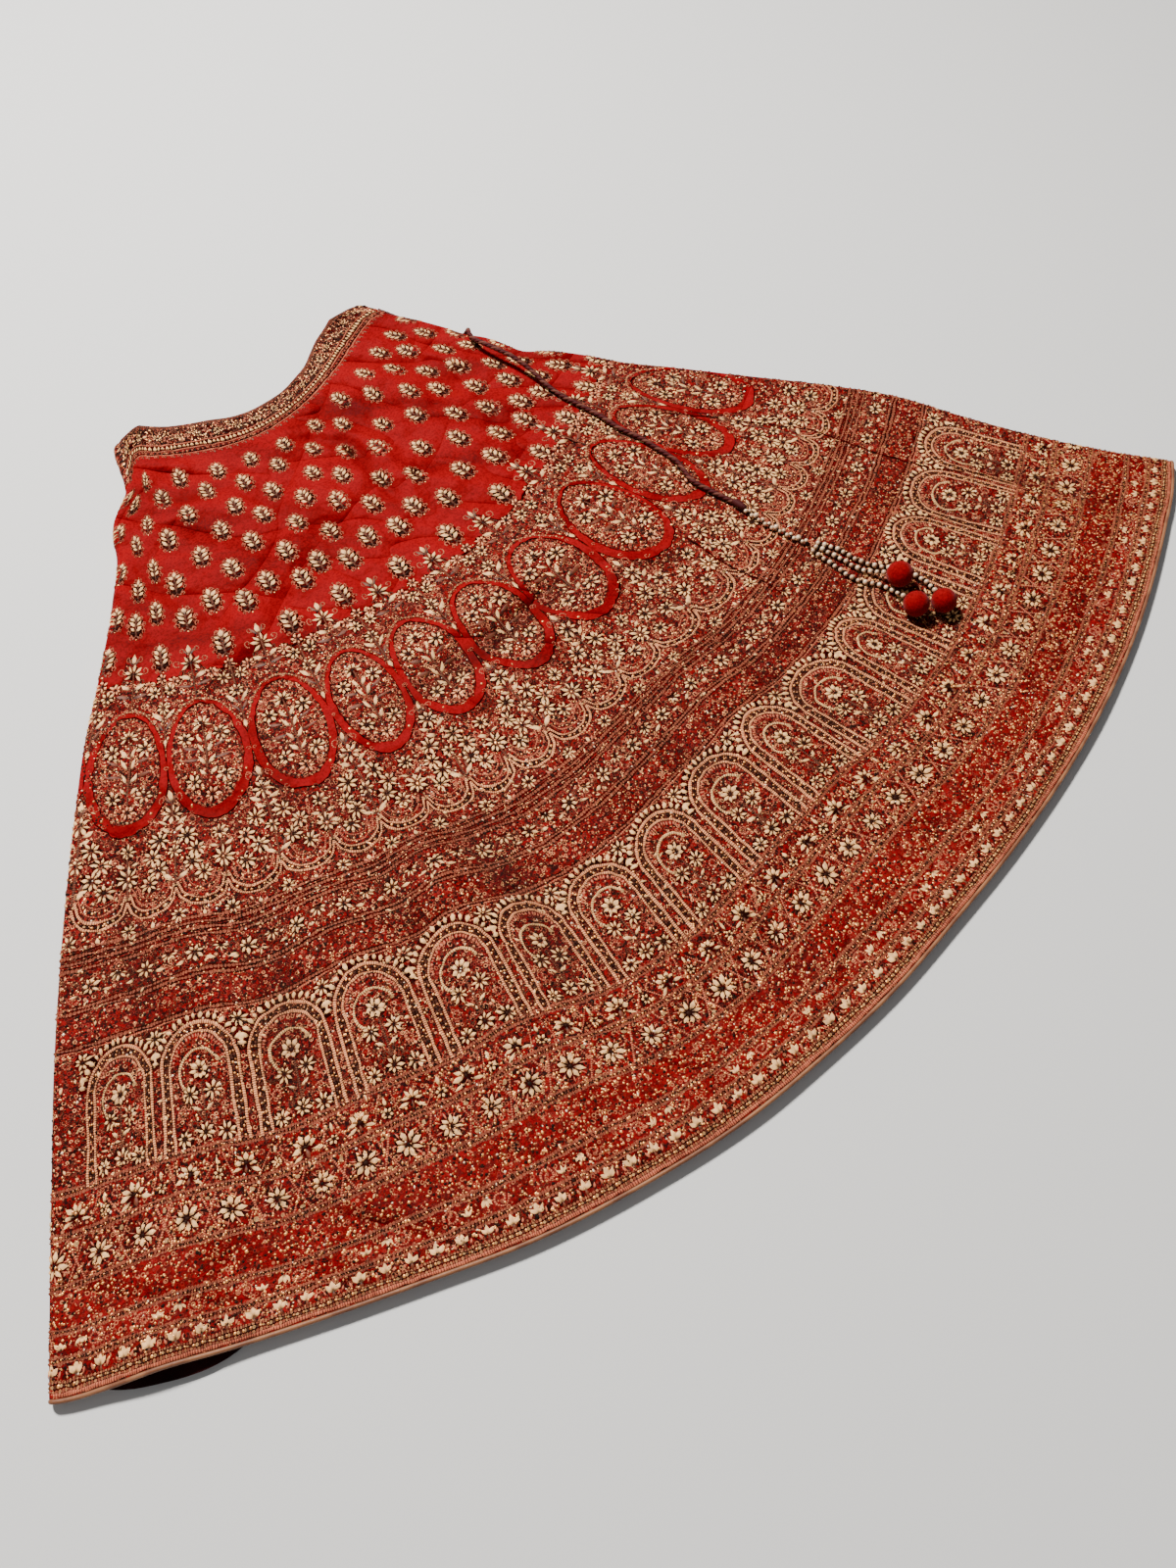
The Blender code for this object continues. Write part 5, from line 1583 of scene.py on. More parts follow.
@dataclass
class ButiField:
    """Small sprigs in staggered columns over the plain upper silk."""

    threads: List[Material]
    between_rows: Tuple[float, ...] = (0.415, 0.480, 0.545, 0.610, 0.672)
    over_rows: Tuple[float, ...] = (0.445, 0.510, 0.575, 0.625)

    @staticmethod
    def buti() -> Motif:
        """Return one sprig: three pairs of leaves and a bud, edged with small curls."""
        sprig = Motif().line([(0, 15), (0, 4), (0, -8)], 2.2, ANTIQUE, 0.5)
        for v, diameter in ((-5, 22.0), (6, 23.0)):
            sprig.bead(0, v, diameter, SHADE, 10, 0.15)
        for turn in range(20, 180, 32):
            sprig.curls(*spot(turn, 12.2, 18.0, v=1.0), 3.0, turn + 100, 280, 1.2, ROSE, 0.55)
        for v, length in ((8.0, 9.5), (1.5, 10.5), (-5.5, 9.0)):
            sprig.petals(0.8, v, 48, length, 4.2)
            sprig.petals(1.0, v + 3.0, 80, 6.0, 2.0, DARK, 0.7)
            sprig.curls(length * 0.92, v - length * 0.25, 2.2, 30, 250, 1.0, ROSE, 0.5, knob=0)
        sprig.petal(0, -7.5, 0, 10.0, 4.8)
        sprig.petals(1.5, -9.0, 28, 6.5, 2.2, ANTIQUE)
        sprig.curls(4.5, -14.5, 2.0, -40, 260, 1.0, ROSE, 0.5, knob=0)
        sprig.petals(0.5, 14, 140, 6.0, 2.4, ANTIQUE)
        sprig.curls(6.5, 13.5, 2.2, 120, 260, 1.0, ROSE, 0.5, knob=0)
        sprig.bead(0, -19.5, 2.2, ROSE).bead(0, 18.5, 2.2, GOLD)
        for v in (12.0, 5.0, -2.0):
            sprig.bead(0, v, 2.4, DARK, height=1.2)
        return sprig

    def make(self, skirt: ClothGrid) -> None:
        """Lay the sprigs."""
        work = Embroidery("buti_embroidery", skirt)
        sprig = self.buti()
        between = [OVAL_CENTRES[0] - 3.0, *midpoints(OVAL_CENTRES), OVAL_CENTRES[-1] + 2.6]
        random = np.random.default_rng(5)
        for columns, rows in ((between, self.between_rows), (OVAL_CENTRES, self.over_rows)):
            for row in rows:
                shift, lift, lean = random.uniform(-1, 1, (3, len(columns)))
                work.lay(sprig, np.array(columns) + shift * 0.22, row + lift * 0.0035, turns=lean * 7.0,
                         sizes=0.80 + 0.9 * (row - 0.41))
        work.finish(self.threads)


@dataclass
class OvalBorder:
    """Worked ovals inside bare rings, with crowns above them and bouquets below."""

    threads: List[Material]
    cusp_row: float = 0.950

    @staticmethod
    def oval() -> Motif:
        """Return what fills one oval."""
        fill = Motif()
        fill.dots(oval_arc(0, 33.0, 61.4, 0, 357, 92), 2.4, PEACH, DARK)
        for turn in range(9, 180, 18):
            fill.curls(*spot(turn, 30.6, 57.5), 3.4, turn + 90, 300, 1.2)
        fill.dots(oval_arc(0, 26.6, 53.0, 0, 351, 40), 2.4, DARK, GOLD)
        fill.flower(0, -38, 11.5, 7, spread=230)
        fill.line([(0, -36), (1.5, -10), (0, 20), (0, 46)], 2.0, ANTIQUE)
        for v, length, lean in ((-14, 13, 35), (0, 15, 28), (16, 14, 32), (30, 12, 38)):
            fill.petals(1, v, lean, length, 4.0)
        fill.flowers(18.5, -22, 9.8, 7)
        fill.curls(21, -38, 6.5, 200, -320, 1.6, ROSE, 0.7, 2.2)
        fill.curls(9, -52, 4.5, 150, -300, 1.3)
        fill.petals(8, -6, 70, 16, 4.6, ANTIQUE)
        fill.petals(7, 8, 84, 17, 4.4, ANTIQUE)
        fill.curls(22, 12, 7.5, -20, 330, 1.6, ROSE, 0.75, 2.4)
        fill.flowers(15.5, 33, 9.2, 7)
        fill.flower(0, 50, 8.2, 7, PEACH)
        fill.curls(9, 20, 5.0, 180, 320, 1.4, ANTIQUE, 0.7)
        for u, v in ((10, -12), (13, 22), (24, 0), (8, 42), (6, -24), (26, 24), (24, -8)):
            fill.bead_pair(u, v, 2.8, GOLD)
        return fill

    @staticmethod
    def crown() -> Motif:
        """Return the crown above an oval; its foot is on the ring's top."""
        crown = Motif().line([(0, 0), (0, -30), (0, -70)], 2.0, ANTIQUE)
        crown.flower(0, -46, 12.0, 7, spread=250)
        crown.petal(0, -58, 0, 14, 5.5)
        crown.petals(1.5, -58, 32, 12, 4.0, ANTIQUE)
        crown.curls(8, -66, 4.0, 210, -320, 1.3)
        crown.curls(15.5, -50, 5.0, 200, -330, 1.4, ROSE, 0.65, 2.2)
        crown.petals(2, -26, 62, 15, 5.0)
        crown.petals(2, -16, 78, 17, 5.0, ANTIQUE)
        crown.flowers(21, -28, 7.6, 7, PEACH)
        crown.curls(12, -36, 4.2, 160, 300, 1.3, ANTIQUE)
        return crown

    @staticmethod
    def between_crowns() -> Motif:
        """Return what stands between two crowns; its foot is where the rings meet."""
        work = Motif().line([(0, 30), (0, -20), (0, -62)], 2.0, ANTIQUE)
        work.flowers(9.5, -36, 8.4, 7)
        work.flower(0, -52, 7.0, 6, PEACH)
        work.flower(0, -14, 9.0, 8)
        work.petals(1.5, 2, 40, 17, 5.0)
        work.petals(1.5, 14, 30, 14, 4.0, ANTIQUE)
        work.curls(13, -18, 5.0, 200, -330, 1.4, ROSE, 0.65, 2.2)
        work.curls(18, -46, 4.6, 160, 320, 1.3, ROSE, 0.65)
        work.petal(0, 24, 180, 12, 4.0)
        return work

    @staticmethod
    def bouquet() -> Motif:
        """Return the tall bouquet that hangs between two ovals, from a scallop's cusp."""
        work = Motif().line([(0, -4), (1.2, -40), (0, -100)], 2.2, ANTIQUE)
        work.petal(0, -98, 0, 14, 5.5).petals(1, -97, 30, 10, 3.4, ANTIQUE)
        work.flower(0, -84, 11.5, 8)
        work.petals(3, -70, 58, 15, 4.4)
        work.flowers(14.5, -55, 10.5, 8)
        work.flower(0, -40, 8.0, 7)
        work.flowers(16.5, -24, 10.5, 8)
        work.petals(1, -8, 55, 15, 5.0)
        work.petals(1, -62, 62, 12, 4.0)
        work.curls(19, -74, 5.6, 200, -330, 1.5, ROSE, 0.65, 2.4)
        work.curls(27, -38, 6.0, 200, -330, 1.5, ROSE, 0.65, 2.4)
        work.curls(10, -102, 4.6, 160, -320, 1.3)
        work.petals(6, -14, 20, 9, 3.4, ANTIQUE)
        for u, v in ((9, -68), (7, -30), (24, -52), (22, -88), (12, -112)):
            work.bead_pair(u, v, 3.0, GOLD)
        return work

    @staticmethod
    def low_bouquet() -> Motif:
        """Return the short bouquet under an oval, from a scallop's cusp."""
        work = Motif().line([(0, -2), (0, -46)], 2.0, ANTIQUE)
        work.flower(0, -50, 9.0, 8).flower(0, -22, 12.0, 9, heart=GOLD)
        work.flowers(25, -38, 10.0, 8)
        work.flowers(21, -11, 9.2, 8)
        work.curls(13, -40, 4.8, 160, 330, 1.4, ROSE, 0.65, 2.2)
        work.petals(2, -34, 70, 11, 3.6)
        work.curls(11, -6, 4.2, 200, 300, 1.3)
        work.curls(34, -24, 4.8, 180, -330, 1.4, ANTIQUE, 0.65, 2.2)
        return work

    def make(self, skirt: ClothGrid) -> None:
        """Lay the border."""
        work = Embroidery("oval_embroidery", skirt)
        gaps = np.gradient(np.array(OVAL_CENTRES))
        centres = np.array(OVAL_CENTRES)
        wide = gaps / OVAL_PITCH
        form = skirt.form
        rows, tall = form.oval_row(centres), form.oval_length(centres)
        work.lay(self.oval(), centres, rows, sizes=tall, stretches=wide / tall)
        arc = Motif()
        arc.dots(oval_arc(2, 43.5, 73.5, -62, 62, 44), 2.4, ROSE, CREAM)
        for turn in range(12, 174, 27):
            arc.curls(*spot(turn, 41.5, 71.0, v=3.5), 2.6, turn + 90, -290, 0.9, ROSE, 0.6, knob=0)
        work.lay(arc, centres, rows, sizes=tall, stretches=wide / tall)
        work.lay(self.crown(), centres, rows - 0.072 * tall)
        between = np.array([OVAL_CENTRES[0] - 3.0, *midpoints(OVAL_CENTRES)])
        work.lay(self.between_crowns(), between, form.oval_row(between) - 0.054)
        work.lay(self.bouquet(), between, self.cusp_row)
        work.lay(self.low_bouquet(), centres, self.cusp_row)
        work.finish(self.threads)


@dataclass
class ScallopBorder:
    """Scallops, ladders and the garland under the bouquets."""

    threads: List[Material]
    cusp_row: float = 0.951
    garland_pitch: float = 2.64

    @staticmethod
    def scallop(half_width: float, sag: float) -> Motif:
        """Return one scallop: two lines that sag towards the hem, with dots between and fine arcs inside."""
        work = Motif()

        def bow(width: float, depth: float, lift: float, count: int) -> List[Place]:
            """Return places on a sagging arc."""
            return [(width * x, depth * math.sqrt(max(0.0, 1 - x * x)) + lift)
                    for x in np.linspace(-1, 1, count)]

        work.line(bow(half_width - 1.0, sag, -3.0, 13), 9.0, SHADE, FLAT_HEIGHT)
        work.line(bow(half_width, sag, 0.0, 15), 2.3, PEACH)
        work.line(bow(half_width - 2.0, sag, -6.6, 13), 2.1, PEACH)
        work.dots(bow(half_width - 1.5, sag, -3.3, 17), 2.8, CREAM, DARK, GOLD, DARK)
        work.line(bow(half_width - 5.5, sag - 2, -10.5, 11), 1.4, ROSE)
        work.dots(bow(half_width - 7.5, sag - 3, -12.5, 13), 2.2, GOLD, DARK)
        work.line(bow(half_width - 10.0, sag - 4, -14.5, 9), 1.3, ROSE)
        return work

    def make(self, skirt: ClothGrid) -> None:
        """Lay the border."""
        work = Embroidery("scallop_embroidery", skirt)
        ends = (OVAL_CENTRES[0] - 3.0, OVAL_CENTRES[-1] + 2.8)
        cusps = sorted([*ends, *OVAL_CENTRES, *midpoints(OVAL_CENTRES)])
        middles = np.array(midpoints(cusps))
        widths = np.radians(np.diff(cusps)) * self.cusp_row / MILLIMETRE
        work.lay(self.scallop(25.3, 21.0), middles, self.cusp_row, stretches=widths / 50.6)
        work.lay(Motif().flower(0, 0, 7.8, 8, turn=22.5), cusps, 0.9795)
        bud = Motif().petal(0, 0, 0, 7, 3.4)
        bud.petals(1, 0, 50, 6, 2.4, ROSE)
        work.lay(bud, middles, 0.9855)
        for row in (0.9845, 0.9905, 0.9965, 1.0030):
            work.chain(row)
        self._lay_garland(work)
        for row in (1.0380, 1.0425, 1.0762):
            work.chain(row)
        work.finish(self.threads)

    def _lay_garland(self, work: Embroidery) -> None:
        """Lay the garland of flowers under the ladders."""
        flower = Motif().flower(0, 0, 8.6, 7, turn=22.5)
        flower.curls(14, -3, 5.0, 200, 300, 1.4, ANTIQUE, 0.65, 2.2)
        flower.petals(9, 6, 100, 9, 3.2, CREAM)
        half = Motif().flower(0, 0, 7.6, 5, spread=170, turn=180)
        half.curl(0, -7, 3.6, 120, 300, 1.2, ROSE, 0.6, 1.8)
        rounds = work.along_row(self.garland_pitch)
        work.lay(flower, rounds, 1.0205)
        work.lay(half, rounds + self.garland_pitch / 2, 1.0155)


@dataclass
class ArchBorder:
    """Round-headed arches with flowers inside, standing on a ladder."""

    threads: List[Material]
    foot_row: float = 1.2005
    half_width: float = 37.0
    spring: float = -76.0
    drawn_span: float = 84.5

    def path(self, inset: float) -> List[Place]:
        """Return an arch's outline, from its left foot over its crown to its right foot."""
        radius = self.half_width - inset
        crown = [spot(turn, radius, v=self.spring) for turn in np.linspace(-90, 90, 25)]
        legs = np.linspace(0.0, self.spring, 9)[:-1]
        return [(-radius, v) for v in legs] + crown + [(radius, v) for v in legs[::-1]]

    def arch(self) -> Motif:
        """Return one arch and what it holds."""
        work = Motif()
        work.line(self.path(4.0), 12.5, SHADE, FLAT_HEIGHT)
        work.line(oval_arc(self.spring, 42.5, 42.5, -84, 84, 21), 9.0, SHADE, FLAT_HEIGHT)
        work.line(self.path(0.0), 2.9, PEACH, 1.1)
        work.line(self.path(8.6), 2.5, PEACH, 0.9)
        for inset, threads in ((3.1, (ANTIQUE, DARK, GOLD)),
                               (5.6, (GOLD, ANTIQUE, ANTIQUE, DARK))):
            work.dots(self._spaced(self.path(inset), 2.5), 2.5, *threads)
        for turn in np.linspace(-76, 76, 17):
            work.petal(*spot(turn, self.half_width + 1.6, v=self.spring), turn, 8.4, 4.3, CREAM, 1.6, 0.72)
        for turn in np.linspace(-84, 84, 23):
            work.petal(*spot(turn, self.half_width - 10.0, v=self.spring), turn + 180, 4.2, 1.9, ROSE, 0.8)
        work.line(oval_arc(-68, 20, 20, -128, 66, 15), 2.4, CREAM, 1.1)
        work.bead(18.0, -75.0, 4.8, CREAM, height=1.6).bead(-14.5, -55.0, 3.6, CREAM)
        work.flower(0, -69, 10.0, 8, plump=1.65)
        work.flowers(10.8, -49, 8.6, 8)
        work.line([(0, -58), (0.8, -40), (0, -22)], 1.8, ANTIQUE)
        work.lines([(9, -40), (4, -30), (0, -22)], 1.4, ANTIQUE)
        work.petals(1, -32, 58, 11, 3.8)
        work.curls(19, -34, 5.4, 200, -330, 1.5, ROSE, 0.65, 2.4)
        work.flowers(19, -11, 8.8, 8, turn=22.5)
        work.flower(0, -14, 9.0, 8, turn=22.5)
        work.curls(9.5, -22, 3.8, 160, 300, 1.2, ANTIQUE)
        work.curls(24, -60, 3.4, 160, -300, 1.2)
        return work

    @staticmethod
    def _spaced(path: Sequence[Place], spacing: float) -> Array:
        """Return places evenly spaced along a path."""
        places = np.array(path)
        return spaced_along(places, np.arange(spacing / 2, travelled_along(places)[-1], spacing))

    def make(self, skirt: ClothGrid) -> None:
        """Lay the border."""
        work = Embroidery("arch_embroidery", skirt)
        middles = midpoints(ARCH_PILLARS)
        spans = np.radians(np.diff(ARCH_PILLARS)) * self.foot_row / MILLIMETRE
        work.lay(self.arch(), middles, self.foot_row, stretches=spans / self.drawn_span)
        spandrel = Motif().flower(0, 0, 8.6, 8, turn=22.5).petal(0, 11, 180, 12, 4.0, CREAM)
        spandrel.curls(13, -1, 4.4, 200, -320, 1.3, ROSE, 0.6, 2.2)
        spandrel.curls(7, 12, 3.6, 20, 300, 1.2, ANTIQUE)
        work.lay(spandrel, ARCH_PILLARS, 1.0905)
        work.ring(1.0800, 1.4, ROSE)
        work.finish(self.threads)


@dataclass
class HemBorder:
    """The rows under the arches, down to the piping."""

    threads: List[Material]

    def make(self, skirt: ClothGrid) -> None:
        """Lay the rows."""
        work = Embroidery("hem_embroidery", skirt)
        for row in (1.2005, 1.2350, 1.2760, 1.3170, 1.3410):
            work.ladder(row)
        self._lay_lotuses(work)
        self._lay_stars(work)
        self._lay_scrolls(work)
        self._lay_tulips(work)
        work.ring(1.3618, 11.0, SHADE, 0.15)
        work.beads(1.3572, 2.6, 2.4, ROSE, PEACH)
        work.beads(1.3600, 2.3, 2.6, GOLD, CREAM, ANTIQUE)
        work.beads(1.3630, 2.6, 2.6, PEACH, ROSE)
        work.ring(1.3657, 2.8, ROSE)
        work.finish(self.threads)

    @staticmethod
    def _lay_lotuses(work: Embroidery) -> None:
        """Lay the row of lotus buds under the arches."""
        lotus = Motif().flower(0, 2, 11.0, 5, spread=170, plump=1.45).petal(0, 4, 180, 8, 3.2, ANTIQUE)
        lotus.petals(3, 6, 112, 11, 3.4)
        lotus.lines([(12, 12), (17, 2), (22, -10)], 1.2, ROSE)
        lotus.curls(14, -8, 3.6, 200, -300, 1.2)
        rounds = work.along_row(2.3)
        work.lay(lotus, rounds, 1.2185, turns=14 * np.sin(rounds * 4.7),
                 sizes=0.97 + 0.10 * np.sin(rounds * 7.3))
        small = Motif().flower(0, 6, 5.6, 6).petal(0, 0, 0, 9, 3.0, CREAM)
        work.lay(small, work.along_row(2.3, 1.15), 1.2185)

    @staticmethod
    def _lay_stars(work: Embroidery) -> None:
        """Lay the row of eight-petalled stars with crossed lines between."""
        star = Motif().flower(0, 0, 11.4, 8, plump=1.35)
        for turn in range(22, 382, 45):
            star.petal(*spot(turn, 7.5), turn, 6.5, 1.3, ROSE, 0.6)
        rounds = work.along_row(1.74)
        work.lay(star, rounds, 1.2560, turns=16 * np.sin(rounds * 5.3),
                 sizes=1.0 + 0.10 * np.sin(rounds * 8.1))
        cross = Motif()
        cross.line([(-7, -17), (0, 0), (7, 17)], 1.5, ROSE)
        cross.line([(7, -17), (0, 0), (-7, 17)], 1.5, ROSE)
        for v in (-13, 13):
            cross.bead(0, v, 4.2, CREAM).bead(-3, v + 3, 2.2, GOLD).bead(3, v - 3, 2.2, GOLD)
        work.lay(cross, work.along_row(1.74, 0.87), 1.2560)

    @staticmethod
    def _lay_scrolls(work: Embroidery) -> None:
        """Lay the row of round scrolls with leaves."""
        scroll = Motif().curl(0, 0, 8.0, -100, 470, 1.9, ROSE, 0.72, 3.2)
        for turn in (-40, 0, 40):
            scroll.petal(13.5, 5, turn, 8.5, 3.2)
        scroll.petal(13.5, 6, 180, 5, 2.4, ANTIQUE)
        rounds = work.along_row(1.85)
        flips = np.where(np.arange(len(rounds)) % 2, 180.0, 0.0)
        work.lay(scroll, rounds, 1.3288, turns=flips, sizes=0.92)

    @staticmethod
    def _lay_tulips(work: Embroidery) -> None:
        """Lay the close row of tulips above the piping."""
        tulip = Motif()
        for turn, length in ((-42, 8.5), (0, 10.0), (42, 8.5)):
            tulip.petal(0, 3, turn, length, 4.2)
        tulip.petal(0, 2, 180, 5, 3.0, ANTIQUE)
        tulip.petals(6, 5, 20, 6, 2.0, ROSE)
        work.lay(tulip, work.along_row(0.92), 1.3500)


@dataclass
class TuckLines:
    """Dark lines where seams and tucks are pulled in across the borders: a broad strip of painted shade with
    a dark stitched line down its middle.
    """

    threads: List[Material]
    tucks: Sequence[Sequence[Place]] = (
        ((25.7, 0.72), (27.7, 0.829), (28.3, 0.896), (28.7, 0.952), (28, 1.035), (27.9, 1.1), (28.8, 1.165)),
        ((15.1, 0.888), (14.6, 0.931), (14.4, 0.952), (14.5, 0.99), (14.2, 1.02)),
    )

    def make(self, skirt: ClothGrid) -> None:
        """Lay them."""
        work = Embroidery("tuck_lines", skirt)
        for tuck in self.tucks:
            work.path(tuck, 2.6, SHADE)
            work.path(tuck, 1.2, DARK)
        work.finish(self.threads)


@dataclass
class FilledGround:
    """Fine curls, knots and spangles strewn over the filled ground between the drawn motifs."""

    threads: List[Material]
    curls: int = 11000
    spangles: int = 30000
    hem_spangles: int = 4500
    seed: int = 11

    def make(self, skirt: ClothGrid) -> None:
        """Strew them."""
        random = np.random.default_rng(self.seed)
        work = Embroidery("ground_curls", skirt)
        curl = Motif().curl(0, 0, 3.4, 0, 250, 0.9, ANTIQUE, 0.6)
        pale = Motif().curl(0, 0, 3.2, 0, 250, 0.9, ROSE, 0.6)
        leaf = Motif().petal(0, 2, 0, 5.5, 2.2, CREAM)
        for motif, share in ((curl, 0.52), (pale, 0.36), (leaf, 0.12)):
            rounds, rows = self._places(random, skirt.form, round(self.curls * share), 0.12)
            work.lay(motif, rounds, rows, turns=random.uniform(0, 360, len(rounds)),
                     sizes=random.uniform(0.7, 1.15, len(rounds)),
                     stretches=np.where(random.random(len(rounds)) < 0.5, -1.0, 1.0))
        work.finish(self.threads)
        glints = Embroidery("ground_spangles", skirt)
        for thread, share, diameter in ((GOLD, 0.30, 2.0), (CREAM, 0.12, 1.8), (PEARL, 0.06, 2.0),
                                        (DARK, 0.52, 2.6)):
            rounds, rows = self._places(random, skirt.form, round(self.spangles * share), 1.0)
            glints.lay(Motif().bead(0, 0, diameter, thread, 4), rounds, rows,
                       sizes=random.uniform(0.7, 1.3, len(rounds)))
        rows = random.uniform(1.204, 1.356, self.hem_spangles)
        glints.lay(Motif().bead(0, 0, 3.0, GOLD, 4), random.uniform(-STREWN, STREWN, self.hem_spangles), rows,
                   turns=random.uniform(0, 90, self.hem_spangles),
                   sizes=random.uniform(0.7, 1.1, self.hem_spangles))
        glints.finish(self.threads)

    @staticmethod
    def _places(random: np.random.Generator, form: SkirtForm, count: int,
                hem_share: float) -> Tuple[Array, Array]:
        """Return places on the filled ground, leaving the rings and the plain field bare."""
        rows = np.sqrt(random.uniform(0.70 ** 2, 1.355 ** 2, count))
        rounds = random.uniform(-STREWN, STREWN, count)
        down = (rows - form.oval_row(rounds)) / form.oval_length(rounds)
        oval = np.interp(rounds, OVAL_CENTRES, np.arange(len(OVAL_CENTRES)))
        side = (oval - np.round(oval)) * math.radians(OVAL_PITCH) * OVALS_ROW
        inner = np.hypot(side / 0.0335, down / 0.0625)
        outer = np.hypot(side / 0.0440, (down - 0.0035) / 0.0735)
        bare = (outer < 1) & (inner > 1)
        open_rows = ((rows > 1.046) & (rows < 1.074)) | (rows > 1.2)
        thinned = open_rows & (random.random(count) > hem_share)
        return rounds[~bare & ~thinned], rows[~bare & ~thinned]


# ---------------- the drawstring

class Lathe(NamedTuple):
    """A ring of something turned about its own axis: how far along it lies, and how wide it is."""

    along: float
    width: float


CAP_SHAPE = (Lathe(0.0, 0.70), Lathe(0.18, 0.96), Lathe(0.5, 1.0), Lathe(0.82, 0.90), Lathe(1.0, 0.62))


def smooth_path(points: Sequence[Vector], spacing: float) -> Array:
    """Return evenly spaced points on the smooth curve through the given ones.

    Args:
        points: The places that it passes through.
        spacing: The distance wanted between its points.

    Returns:
        The points, as an array.
    """
    padded = [2 * points[0] - points[1], *points, 2 * points[-1] - points[-2]]
    fine = []
    for before, start, end, after in zip(padded, padded[1:], padded[2:], padded[3:]):
        for step in range(12):
            t = step / 12
            fine.append(0.5 * (2 * start + (end - before) * t
                               + (2 * before - 5 * start + 4 * end - after) * t ** 2
                               + (3 * start - before - 3 * end + after) * t ** 3))
    fine = np.array([*fine, points[-1]])
    length = travelled_along(fine)[-1]
    return spaced_along(fine, np.linspace(0.0, length, max(2, round(length / spacing)) + 1))


def globe(segments: int, rings: int) -> Tuple[Array, Array]:
    """Return the points and triangles of a ball of radius 1 about its Z axis."""
    polar = np.linspace(0, math.pi, rings + 1)[1:-1]
    turns = np.arange(segments) * 2 * math.pi / segments
    body = np.stack([np.outer(np.sin(polar), np.cos(turns)), np.outer(np.sin(polar), np.sin(turns)),
                     np.outer(np.cos(polar), np.ones(segments))], axis=-1).reshape(-1, 3)
    points = np.concatenate([[[0, 0, 1]], body, [[0, 0, -1]]])
    index = 1 + np.arange((rings - 1) * segments).reshape(rings - 1, segments)
    following = np.roll(index, -1, axis=1)
    last = len(points) - 1
    faces = [np.stack([np.zeros(segments, int), index[0], following[0]], axis=-1),
             np.stack([np.full(segments, last), following[-1], index[-1]], axis=-1),
             np.stack([index[:-1], index[1:], following[1:]], axis=-1).reshape(-1, 3),
             np.stack([index[:-1], following[1:], following[:-1]], axis=-1).reshape(-1, 3)]
    return points, np.concatenate(faces)


def turned(axis: Array) -> Array:
    """Return the matrix that turns Z towards an axis."""
    return np.array(Vector(axis).to_track_quat("Z", "Y").to_matrix())


